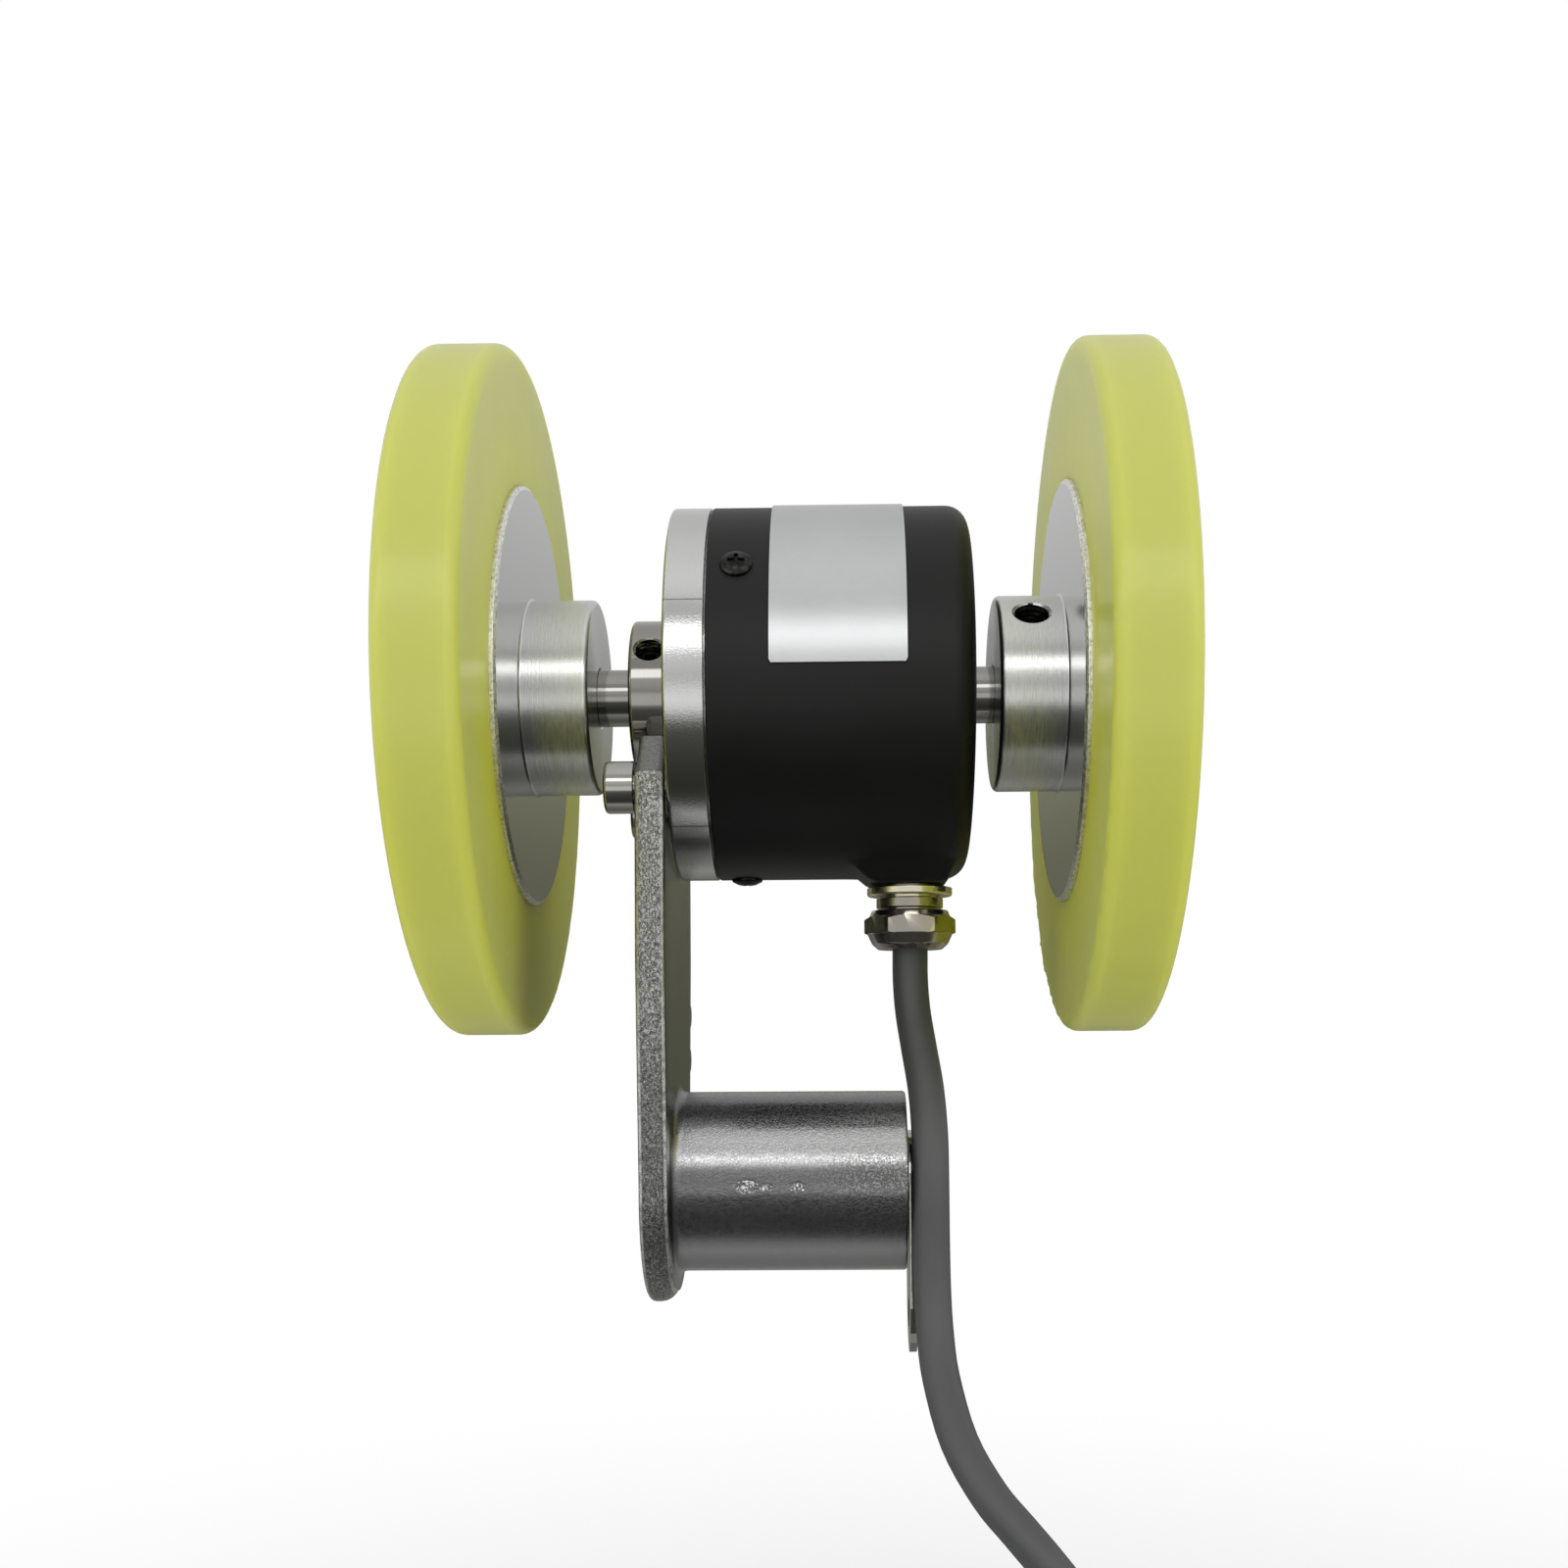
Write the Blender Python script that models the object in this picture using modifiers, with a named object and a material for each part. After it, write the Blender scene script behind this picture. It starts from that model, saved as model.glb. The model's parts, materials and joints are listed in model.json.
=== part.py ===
"""A two-wheel length encoder on a sprung arm, with its cable and the coil of spare cable.

World axes: +X along the wheel shaft, +Y away from the front, +Z up. The origin is the middle of the
pivot bolt at the face that is clamped to the machine. All along-X sizes grow from there to the left.
An angle round the shaft is 0 at the front (-Y) and 90 degrees at the top.
"""

import math

import bmesh
import bpy
from mathutils import Matrix, Vector

mm = 0.001
degree = math.pi / 180
full_turn = 2 * math.pi

# Clearances
seat_gap = 0.25 * mm
face_gap = 0.3 * mm
run_gap = 0.5 * mm
overrun = 3 * mm
weld_distance = 0.01 * mm
corner_angle = 40 * degree

# Sides of the round pieces, by size
wheel_sides = 40
body_sides = 40
middle_sides = 24
small_sides = 12
tiny_sides = 8
ball_rings = 4
notch_steps = 12
end_steps = 20
lobe_steps = 6
stop_steps = 6
strip_steps = 12
route_steps = 24

# Wheels
tyre_radius = 47.75 * mm
tyre_width = 10.5 * mm
tyre_edge = 0.8 * mm
tyre_depth = 18.45 * mm
hub_proud = 0.8 * mm
hub_edge = 0.4 * mm
boss_radius = 13.7 * mm
boss_length = 9.2 * mm
boss_edge = 0.7 * mm
hub_screw_radius = 2.5 * mm
hub_screw_length = 5 * mm
hub_screw_key_radius = 1.45 * mm
hub_screw_angles = {"left_hub": -134 * degree, "right_hub": 46 * degree}

# Wheel shaft and the hollow shaft round it
shaft_radius = 4 * mm
shaft_edge = 0.4 * mm
shaft_recess = 0.5 * mm
left_shaft_shows = 5.1 * mm
right_shaft_shows = 4 * mm
hollow_radius = 6 * mm
collar_radius = 10.75 * mm
collar_length = 5.7 * mm
collar_edge = 0.5 * mm
collar_screw_radius = 2 * mm
collar_screw_length = 4 * mm
collar_screw_key_radius = 1.15 * mm
collar_screw_angles = (28 * degree, 208 * degree)
key_depth_share = 0.45

# Arm
arm_reach = 68.5 * mm
arm_thickness = 4 * mm
arm_inset = 6.25 * mm
arm_top_drop = 7.8 * mm
arm_chamfer = 5.6 * mm
arm_end_wall = 4.5 * mm
arm_taper_height = 31 * mm
barrel_radius = 12.5 * mm
barrel_length = 31.8 * mm
barrel_bore = 9.5 * mm
barrel_root = 1.5 * mm
lobe_radius = 2.3 * mm
lobe_heights = (23.4 * mm, 16.7 * mm)
arm_screw_inset = 4.9 * mm
arm_screw_margin = 5 * mm
arm_screw_radius = 2 * mm
arm_screw_head_radius = 3.5 * mm
arm_screw_head = 4 * mm
arm_screw_key_radius = 1.7 * mm
arm_screw_bite = 6 * mm
head_edge = 0.3 * mm

# Pivot: what the machine's bolt clamps
bolt_bore = 4.2 * mm
sleeve_radius = 6 * mm
spigot_radius = 5 * mm
strip_thickness = 1 * mm
strip_half_width = 7 * mm
strip_reach = 24 * mm
strip_hole_radius = 2.2 * mm
strip_hole_drop = 18.5 * mm
stop_angle = 20 * degree
stop_half_width = 1.2 * mm
stop_inner = 10.2 * mm
stop_outer = 12 * mm
stop_length = 2.8 * mm
ear_edge = 0.3 * mm
swing = 40 * degree
bush_length = 5 * mm
left_bush_radius = 8 * mm
counterbore_wall = 0.5 * mm
washer_radius = 10.5 * mm
washer_thickness = 1 * mm
clip_thickness = 0.8 * mm
clip_radius = 8 * mm
clip_groove_depth = 0.6 * mm
clip_mouth = 50 * degree
sleeve_end = 0.6 * mm

# Torsion spring inside the barrel
wire_radius = 0.8 * mm
spring_radius = 7.75 * mm
spring_turns = 6.5
spring_points = 8
spring_end_room = 1.6 * mm
spring_outer_leg = 11.2 * mm
spring_inner_leg = 5.1 * mm

# Encoder body
body_radius = 26 * mm
body_length = 40.4 * mm
flange_thickness = 5.3 * mm
flange_edge = 0.5 * mm
cover_wall = 1.8 * mm
cover_rear_wall = 3 * mm
cover_rear_radius = 3 * mm
cover_hole_room = 0.7 * mm
rear_seal_width = 3 * mm
rear_seal_thickness = 1.4 * mm
spigot_length = 7.9 * mm
housing_wall = 2.75 * mm
cover_screw_angles = (30 * degree, 150 * degree, -90 * degree)
cover_screw_radius = 1.5 * mm
cover_screw_head_radius = 2.5 * mm
cover_screw_head = 1.5 * mm
cover_screw_bite = 4.5 * mm
cover_screw_setback = 3.9 * mm
cross_half_length = 1.3 * mm
cross_half_width = 0.3 * mm
cross_depth = 0.8 * mm
ring_section = 0.6 * mm
ring_squeeze = 0.15 * mm
ring_setback = 1.2 * mm
label_setback = 8.2 * mm
label_width = 17.7 * mm
label_thickness = 0.2 * mm
label_facets = 11

# Bearings, 12 x 21 x 5
bearing_radius = 10.5 * mm
bearing_width = 5 * mm
bearing_inset = 0.2 * mm
inner_race_top = 7.5 * mm
outer_race_bottom = 9 * mm
ball_radius = 1.1 * mm
ball_count = 9
ball_room = 0.15 * mm
groove_half_widths_share = (0.6, 1.2)
cage_half_thickness = 0.3 * mm
cage_half_width = 1.7 * mm
shoulder_drop = 0.9 * mm
shaft_clip_thickness = 0.7 * mm
shaft_clip_radius = 7.3 * mm
shaft_clip_depth = 0.4 * mm

# Disc and electronics
disc_hub_radius = 10 * mm
disc_hub_length = 2.2 * mm
disc_room = 1.8 * mm
disc_thickness = 0.6 * mm
disc_to_board = 2.65 * mm
board_to_wall = 10.2 * mm
board_room = 1.7 * mm
board_hole_room = 2.5 * mm
board_thickness = 1.6 * mm
board_screw_margin = 2 * mm
board_screw_angles = (-30 * degree, -150 * degree, 90 * degree)
standoff_radius = 2.2 * mm
board_screw_radius = 1 * mm
board_screw_head_radius = 1.9 * mm
board_screw_head = 1.2 * mm
board_screw_bite = 4 * mm
reader_angle = 30 * degree
reader_width = 8 * mm
reader_room = 1 * mm
reader_back = 3 * mm
reader_arm_share = 0.18
reader_slot = 1.35 * mm
connector_depth = 3.6 * mm
connector_width = 10 * mm
connector_room = 0.5 * mm
lead_rise = 5.4 * mm

# Cable outlet and gland, under the cover
gland_setback = 8 * mm
outlet_proud = 1.1 * mm
outlet_root_sunk = 6 * mm
outlet_half_width = 7.4 * mm
outlet_root_half_width = 12 * mm
outlet_left = 5.6 * mm
outlet_right = 5 * mm
outlet_root_left = 13 * mm
outlet_root_right = 7.6 * mm
gland_washer_radius = 6 * mm
gland_washer_thickness = 1.2 * mm
gland_hex_radius = 4.7 * mm
gland_hex_length = 1.5 * mm
gland_thread_radius = 3.9 * mm
gland_thread_length = 6.2 * mm
gland_stem_radius = 3.7 * mm
gland_stem_length = 2.6 * mm
gland_nut_radius = 6.45 * mm
gland_nut_length = 5.5 * mm
gland_nut_waist_share = 0.9
gland_nut_mouth_share = 0.62
gland_nut_band_shares = (0.15, 0.5)
gland_wall = 1.2 * mm
gland_seal_wall = 0.6 * mm

# Cable
cable_radius = 2.5 * mm
cable_step = 6 * mm
cable_shows = 0.8 * mm
lead_radius = 1.2 * mm
lead_shares = ((0, 0), (0.17, 0), (0.5, 0.5), (0.83, 1), (1, 1))
route = (
    (-0.4 * mm, 0 * mm, 32.1 * mm),
    (-0.4 * mm, -0.1 * mm, 28 * mm),
    (-0.1 * mm, -1.1 * mm, 23.5 * mm),
    (0.6 * mm, -3.3 * mm, 18.5 * mm),
    (1.4 * mm, -6.1 * mm, 12.8 * mm),
    (1.75 * mm, -8.8 * mm, 6.5 * mm),
    (1.75 * mm, -10.3 * mm, 0 * mm),
    (1.75 * mm, -10.7 * mm, -7 * mm),
    (1.8 * mm, -11.4 * mm, -13.5 * mm),
    (2 * mm, -13 * mm, -19 * mm),
    (2.6 * mm, -15.8 * mm, -24.6 * mm),
    (4.6 * mm, -20.5 * mm, -31.8 * mm),
    (8.1 * mm, -24.6 * mm, -37.6 * mm),
    (11.6 * mm, -27.2 * mm, -41.4 * mm),
    (15.4 * mm, -29.4 * mm, -45.6 * mm),
    (20.8 * mm, -31.6 * mm, -52.4 * mm),
    (25.8 * mm, -33.9 * mm, -60.4 * mm),
    (30.8 * mm, -36.2 * mm, -69 * mm),
    (37.2 * mm, -38.4 * mm, -77.4 * mm),
    (45.4 * mm, -39.7 * mm, -84.2 * mm),
    (52 * mm, -40 * mm, -86.7 * mm),
    (56 * mm, -40 * mm, -87 * mm),
)

# Coil of spare cable, at the floor
coil_layers = 2
coil_turns_a_layer = 3.625
coil_pitch = 5.6 * mm
coil_points = 24
tie_thickness = 1 * mm
tie_width = 7 * mm
tie_room = 0.4 * mm
core_radius = 0.65 * mm
core_circle = 1.4 * mm
core_length = 28 * mm
core_fan = 5 * mm
core_lean = 6 * mm
core_points = 4
core_colours = {
    "core_red": (0.55, 0.03, 0.02),
    "core_black": (0.02, 0.02, 0.02),
    "core_green": (0.03, 0.35, 0.08),
    "core_white": (0.8, 0.8, 0.78),
    "core_yellow": (0.75, 0.6, 0.05),
}

# Radii that follow from these
hub_radius = tyre_radius - tyre_depth
arm_half_width = body_radius - arm_inset
arm_end_radius = barrel_radius + arm_end_wall
cover_bore = body_radius - cover_wall
flange_spigot = cover_bore - seat_gap
cover_hole = hollow_radius + cover_hole_room
rear_seal_radius = hollow_radius + rear_seal_width
bearing_bore = bearing_radius + seat_gap
housing_radius = bearing_bore + housing_wall
board_radius = cover_bore - board_room
board_hole = hollow_radius + board_hole_room
board_screw_circle = board_radius - board_screw_margin
disc_radius = board_screw_circle - standoff_radius - disc_room

# Places along X, from the machine's face to the left
barrel_right = -(strip_thickness + face_gap)
arm_face = barrel_right - barrel_length
arm_back = arm_face - arm_thickness
sleeve_left = arm_back
clip_left = sleeve_left + sleeve_end
clip_right = clip_left + clip_thickness
washer_left = clip_right + seat_gap
counterbore_floor = washer_left + washer_thickness + face_gap
flange_face = arm_face + face_gap
flange_back = flange_face + flange_thickness
spigot_end = flange_back + spigot_length
body_rear = flange_face + body_length
cover_front = flange_back + seat_gap
cover_inside = body_rear - cover_rear_wall
board_right = cover_inside - board_to_wall
board_left = board_right - board_thickness
disc_left = board_left - disc_to_board - disc_thickness
disc_hub_left = disc_left - seat_gap - disc_hub_length
shaft_clip_left = disc_hub_left - seat_gap - shaft_clip_thickness
housing_end = shaft_clip_left - seat_gap
rear_bearing = housing_end - face_gap - bearing_width / 2
front_bearing = flange_face + bearing_inset + bearing_width / 2
collar_right = flange_face - run_gap
collar_left = collar_right - collar_length
left_boss_end = collar_left - left_shaft_shows
right_boss_end = body_rear + right_shaft_shows
gland_x = body_rear - gland_setback

# Heights from the pivot
outlet_z = arm_reach - body_radius - outlet_proud
outlet_root_z = arm_reach - body_radius + outlet_root_sunk
gland_washer_top = outlet_z - face_gap
gland_thread_top = gland_washer_top + gland_thread_length
gland_hex_top = gland_washer_top - gland_washer_thickness - seat_gap
gland_nut_top = gland_hex_top - gland_hex_length - seat_gap
gland_nut_bottom = gland_nut_top - gland_nut_length
cable_inner_top = gland_thread_top + cable_shows
connector_bottom = cable_inner_top + lead_rise
connector_top = arm_reach - board_hole - connector_room

# The arm's screws, in Y and Z from the wheel shaft's axis
arm_screw_circle = body_radius - arm_screw_margin
arm_screw_y = arm_half_width - arm_screw_inset
arm_screw_z = -math.sqrt(arm_screw_circle**2 - arm_screw_y**2)


def fresh_scene():
    for old in list(bpy.data.objects):
        bpy.data.objects.remove(old, do_unlink=True)


def collection(name):
    made = bpy.data.collections.new(name)
    bpy.context.scene.collection.children.link(made)
    return made


fresh_scene()
parts = collection("wheel_encoder")
cutters = collection("cutters")


def empty(name, at, parent=None):
    axis = bpy.data.objects.new(name, None)
    axis.empty_display_size = shaft_radius
    parts.objects.link(axis)
    axis.location = at
    axis.parent = parent
    return axis


pivot_axis = empty("pivot_axis", (0, 0, 0))
swing_axis = empty("arm_swing_axis", (0, 0, 0), pivot_axis)
spin_axis = empty("wheel_spin_axis", (0, 0, arm_reach), swing_axis)


def finish(name, colour, roughness, metallic=0.0):
    made = bpy.data.materials.new(name)
    made.use_nodes = True
    shader = made.node_tree.nodes["Principled BSDF"]
    shader.inputs["Base Color"].default_value = (*colour, 1)
    shader.inputs["Roughness"].default_value = roughness
    shader.inputs["Metallic"].default_value = metallic
    made.diffuse_color = (*colour, 1)
    return made


turned_aluminium = finish("turned aluminium", (0.68, 0.69, 0.7), 0.32, 1)
cast_metal = finish("cast metal", (0.42, 0.42, 0.41), 0.5, 1)
ground_steel = finish("ground steel", (0.6, 0.59, 0.56), 0.2, 1)
plated_brass = finish("plated brass", (0.7, 0.67, 0.58), 0.22, 1)
spring_steel = finish("spring steel", (0.25, 0.25, 0.26), 0.35, 1)
black_coat = finish("black coat", (0.015, 0.015, 0.016), 0.5)
black_steel = finish("black steel", (0.03, 0.03, 0.03), 0.4, 1)
silver_foil = finish("silver foil", (0.6, 0.62, 0.62), 0.4, 0.6)
lime_polyurethane = finish("lime polyurethane", (0.62, 0.72, 0.12), 0.35)
grey_pvc = finish("grey pvc", (0.09, 0.095, 0.1), 0.55)
black_rubber = finish("black rubber", (0.02, 0.02, 0.02), 0.8)
white_nylon = finish("white nylon", (0.75, 0.74, 0.7), 0.5)
board_green = finish("board green", (0.02, 0.16, 0.07), 0.4)
disc_glass = finish("disc glass", (0.45, 0.5, 0.52), 0.1)


def own(name, data, material, parent, hidden=False):
    """The object of this name, under its parent, in the parts or among the cutters."""
    made = bpy.data.objects.new(name, data)
    (cutters if hidden else parts).objects.link(made)
    made.parent = parent
    if hidden:
        made.hide_render = True
        made.display_type = "WIRE"
    if material:
        data.materials.append(material)
    return made


def baked(shape):
    """The shape's mesh in its parent's axes, with its modifiers and its own place in it."""
    bpy.context.view_layer.update()
    graph = bpy.context.evaluated_depsgraph_get()
    mesh = bpy.data.meshes.new_from_object(shape.evaluated_get(graph))
    mesh.transform(shape.matrix_basis)
    welded = bmesh.new()
    welded.from_mesh(mesh)
    bmesh.ops.remove_doubles(welded, verts=welded.verts, dist=weld_distance)
    welded.to_mesh(mesh)
    welded.free()
    old = shape.data
    bpy.data.objects.remove(shape, do_unlink=True)
    if old.users == 0:
        (bpy.data.curves if isinstance(old, bpy.types.Curve) else bpy.data.meshes).remove(old)
    return mesh


def turned(name, outline, sides, material, parent, along_x=True, hidden=False):
    """An outline of (along, radius) turned about the axis. It runs down its outer side, far end first."""
    count = len(outline)
    solid = outline[0][1] == 0
    edges = [(i, i + 1) for i in range(count - 1)]
    if not solid:
        edges.append((count - 1, 0))
    mesh = bpy.data.meshes.new(name)
    mesh.from_pydata([(radius, 0, along) for along, radius in outline], edges, [])
    made = own(name, mesh, material, parent, hidden)
    screw = made.modifiers.new("turn", "SCREW")
    screw.axis = "Z"
    screw.angle = full_turn
    screw.steps = sides
    screw.render_steps = sides
    screw.use_merge_vertices = True
    screw.merge_threshold = weld_distance
    screw.use_smooth_shade = True
    if along_x:
        made.rotation_euler.y = math.pi / 2
    return made


def bar(top, bottom, radius, edge=0.0):
    """The outline of a plain round bar, with its ends' edges broken."""
    if not edge:
        return [(top, 0), (top, radius), (bottom, radius), (bottom, 0)]
    return [
        (top, 0),
        (top, radius - edge),
        (top - edge, radius),
        (bottom + edge, radius),
        (bottom, radius - edge),
        (bottom, 0),
    ]


def washer(top, bottom, radius, bore, edge=0.0):
    """The outline of a ring with a square section, with its outer edges broken."""
    return bar(top, bottom, radius, edge)[1:-1] + [(bottom, bore), (top, bore)]


def box(name, low, high, material, parent, hidden=False):
    shape = bmesh.new()
    bmesh.ops.create_cube(shape, size=1)
    low, high = Vector(low), Vector(high)
    bmesh.ops.scale(shape, vec=high - low, verts=shape.verts)
    bmesh.ops.translate(shape, vec=(low + high) / 2, verts=shape.verts)
    mesh = bpy.data.meshes.new(name)
    shape.to_mesh(mesh)
    shape.free()
    return own(name, mesh, material, parent, hidden)


def flat(name, outlines, low, high, material, parent, hidden=False):
    """Outlines of (y, z), the first one outside and the rest its holes, as thick as from low to high."""
    curve = bpy.data.curves.new(name, "CURVE")
    curve.dimensions = "2D"
    curve.fill_mode = "BOTH"
    curve.extrude = (high - low) / 2
    for outline in outlines:
        spline = curve.splines.new("POLY")
        spline.points.add(len(outline) - 1)
        for point, (y, z) in zip(spline.points, outline):
            point.co = (y, z, 0, 1)
        spline.use_cyclic_u = True
    shape = own(name + "_outline", curve, None, None, hidden=True)
    shape.rotation_euler = (math.pi / 2, 0, math.pi / 2)
    shape.location.x = (low + high) / 2
    mesh = baked(shape)
    mesh.name = name
    return own(name, mesh, material, parent, hidden)


def tube(name, points, radius, resolution, material, parent):
    curve = bpy.data.curves.new(name, "CURVE")
    curve.dimensions = "3D"
    curve.bevel_depth = radius
    curve.bevel_resolution = resolution
    curve.use_fill_caps = True
    spline = curve.splines.new("POLY")
    spline.points.add(len(points) - 1)
    for point, place in zip(spline.points, points):
        point.co = (*place, 1)
    return own(name, curve, material, parent)


def arc(radius, start, end, steps, centre=(0, 0)):
    """Points (y, z) on an arc. Its angles are counted from +Y towards +Z."""
    angles = [start + (end - start) * i / steps for i in range(steps + 1)]
    return [(centre[0] + radius * math.cos(a), centre[1] + radius * math.sin(a)) for a in angles]


def circle(radius, steps, centre=(0, 0)):
    return arc(radius, 0, full_turn, steps, centre)[:-1]


def round_shaft(angle):
    """The turn about X that takes +Z to this angle round the shaft."""
    return Matrix.Rotation(math.pi / 2 - angle, 4, "X")


def off_shaft(angle, radius):
    """(y, z) of a place at this angle and radius round the shaft."""
    return -radius * math.cos(angle), radius * math.sin(angle)


def cut(piece, *others):
    for other in others:
        hole = piece.modifiers.new(other.name, "BOOLEAN")
        hole.operation = "DIFFERENCE"
        hole.object = other


def join(piece, *others):
    for other in others:
        union = piece.modifiers.new(other.name, "BOOLEAN")
        union.operation = "UNION"
        union.object = other


def gathered(name, mesh, places, material, parent, hidden=False):
    """One object with a copy of the mesh at each place."""
    shape = bmesh.new()
    for place in places:
        single = mesh.copy()
        single.transform(place)
        shape.from_mesh(single)
        bpy.data.meshes.remove(single)
    whole = bpy.data.meshes.new(name)
    shape.to_mesh(whole)
    shape.free()
    bpy.data.meshes.remove(mesh)
    return own(name, whole, material, parent, hidden)


def copies(name, mesh, places, material, parent):
    """An object at each place, numbered from 1. They share the mesh."""
    mesh.name = name
    mesh.materials.append(material)
    for number, place in enumerate(places, 1):
        made = own("%s_%d" % (name, number), mesh, None, parent)
        made.matrix_basis = place


def radial_holes(name, radius, start, end, x, angles, sides, parent):
    """Cutters out from the shaft at these angles, from one radius to another."""
    mesh = baked(turned(name, bar(end, start, radius), sides, None, None, False, True))
    places = [Matrix.Translation((x, 0, 0)) @ round_shaft(angle) for angle in angles]
    return gathered(name, mesh, places, None, parent, hidden=True)


def key_screw(name, length, radius, edge, key_radius, top):
    """A headless screw with a hexagon socket in its top, along +Z."""
    screw = turned(name, bar(top, top - length, radius, edge), small_sides, None, None, False, True)
    depth = length * key_depth_share
    key = turned(name + "_key", bar(top + overrun, top - depth, key_radius), 6, None, None, False, True)
    cut(screw, key)
    mesh = baked(screw)
    bpy.data.objects.remove(key, do_unlink=True)
    return mesh


def along_route(points, step):
    """Points about a step apart on the smooth curve through the route's own points."""
    knots = [Vector(point) for point in points]
    knots = [2 * knots[0] - knots[1], *knots, 2 * knots[-1] - knots[-2]]
    fine = []
    for before, start, end, after in zip(knots, knots[1:], knots[2:], knots[3:]):
        for i in range(route_steps):
            t = i / route_steps
            fine.append(
                (
                    2 * start
                    + t * (end - before)
                    + t**2 * (2 * before - 5 * start + 4 * end - after)
                    + t**3 * (3 * start - before - 3 * end + after)
                )
                / 2
            )
    fine.append(knots[-2])
    lengths = [(b - a).length for a, b in zip(fine, fine[1:])]
    total = sum(lengths)
    count = round(total / step)
    found = [fine[0]]
    walked = 0
    for start, end, length in zip(fine, fine[1:], lengths):
        while len(found) < count and walked + length >= total * len(found) / count:
            share = (total * len(found) / count - walked) / length
            found.append(start.lerp(end, share))
        walked += length
    return found + [fine[-1]], total


def make_wheels():
    """Each hub is a disc with a boss towards the encoder, and its tyre is cast round the disc."""
    hub_bore = shaft_radius + seat_gap
    for side, boss_end, outward in (("left", left_boss_end, -1), ("right", right_boss_end, 1)):
        disc_face = boss_end + outward * boss_length
        tyre_inner = disc_face + outward * hub_proud
        tyre_outer = tyre_inner + outward * tyre_width
        outline = [
            (tyre_outer, hub_radius),
            (disc_face + outward * hub_edge, hub_radius),
            (disc_face, hub_radius - hub_edge),
            (disc_face, boss_radius),
            (boss_end + outward * boss_edge, boss_radius),
            (boss_end, boss_radius - boss_edge),
            (boss_end, hub_bore),
            (tyre_outer, hub_bore),
        ]
        tyre_bore = hub_radius + seat_gap
        edge = tyre_edge
        rubber = [
            (tyre_outer, tyre_bore),
            (tyre_outer, tyre_radius - edge),
            (tyre_outer - outward * edge, tyre_radius),
            (tyre_inner + outward * edge, tyre_radius),
            (tyre_inner, tyre_radius - edge),
            (tyre_inner, tyre_bore),
        ]
        if outward < 0:
            outline.reverse()
            rubber.reverse()
        hub = turned(side + "_hub", outline, wheel_sides, turned_aluminium, spin_axis)
        turned(side + "_tyre", rubber, wheel_sides, lime_polyurethane, spin_axis)
        middle = (boss_end + disc_face) / 2
        hole = radial_holes(
            side + "_hub_hole",
            hub_screw_radius,
            0,
            boss_radius + overrun,
            middle,
            [hub_screw_angles[side + "_hub"]],
            small_sides,
            spin_axis,
        )
        cut(hub, hole)
    places = [
        Matrix.Translation(((left_boss_end - boss_length / 2), 0, 0))
        @ round_shaft(hub_screw_angles["left_hub"]),
        Matrix.Translation(((right_boss_end + boss_length / 2), 0, 0))
        @ round_shaft(hub_screw_angles["right_hub"]),
    ]
    top = shaft_radius + face_gap + hub_screw_length
    mesh = key_screw(
        "hub_set_screw",
        hub_screw_length,
        hub_screw_radius - seat_gap,
        head_edge,
        hub_screw_key_radius,
        top,
    )
    copies("hub_set_screw", mesh, places, black_steel, spin_axis)


def make_shafts():
    """The long wheel shaft, and the encoder's hollow shaft with the collar that grips it."""
    left_end = left_boss_end - boss_length - hub_proud - tyre_width + shaft_recess
    right_end = right_boss_end + boss_length + hub_proud + tyre_width - shaft_recess
    turned(
        "wheel_shaft",
        bar(right_end, left_end, shaft_radius, shaft_edge),
        middle_sides,
        ground_steel,
        spin_axis,
    )
    bore = shaft_radius + seat_gap
    groove = hollow_radius - shaft_clip_depth
    groove_left = shaft_clip_left - seat_gap / 2
    groove_right = shaft_clip_left + shaft_clip_thickness + seat_gap / 2
    end = body_rear - run_gap
    outline = [
        (end, hollow_radius),
        (groove_right, hollow_radius),
        (groove_right, groove),
        (groove_left, groove),
        (groove_left, hollow_radius),
        (collar_right, hollow_radius),
        (collar_right, collar_radius - collar_edge),
        (collar_right - collar_edge, collar_radius),
        (collar_left + collar_edge, collar_radius),
        (collar_left, collar_radius - collar_edge),
        (collar_left, bore),
        (end, bore),
    ]
    shaft = turned("hollow_shaft", outline, middle_sides, ground_steel, spin_axis)
    middle = (collar_left + collar_right) / 2
    holes = radial_holes(
        "collar_holes",
        collar_screw_radius,
        shaft_radius,
        collar_radius + overrun,
        middle,
        collar_screw_angles,
        small_sides,
        spin_axis,
    )
    cut(shaft, holes)
    top = shaft_radius + face_gap + collar_screw_length
    mesh = key_screw(
        "collar_set_screw",
        collar_screw_length,
        collar_screw_radius - seat_gap,
        head_edge,
        collar_screw_key_radius,
        top,
    )
    places = [Matrix.Translation((middle, 0, 0)) @ round_shaft(a) for a in collar_screw_angles]
    copies("collar_set_screw", mesh, places, black_steel, spin_axis)
    clip_low = math.pi / 2 + clip_mouth / 2
    clip_high = clip_low + full_turn - clip_mouth
    ring = arc(shaft_clip_radius, clip_low, clip_high, small_sides)
    ring += arc(groove + seat_gap, clip_high, clip_low, small_sides)
    flat(
        "shaft_clip",
        [ring],
        shaft_clip_left,
        shaft_clip_left + shaft_clip_thickness,
        spring_steel,
        spin_axis,
    )


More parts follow.
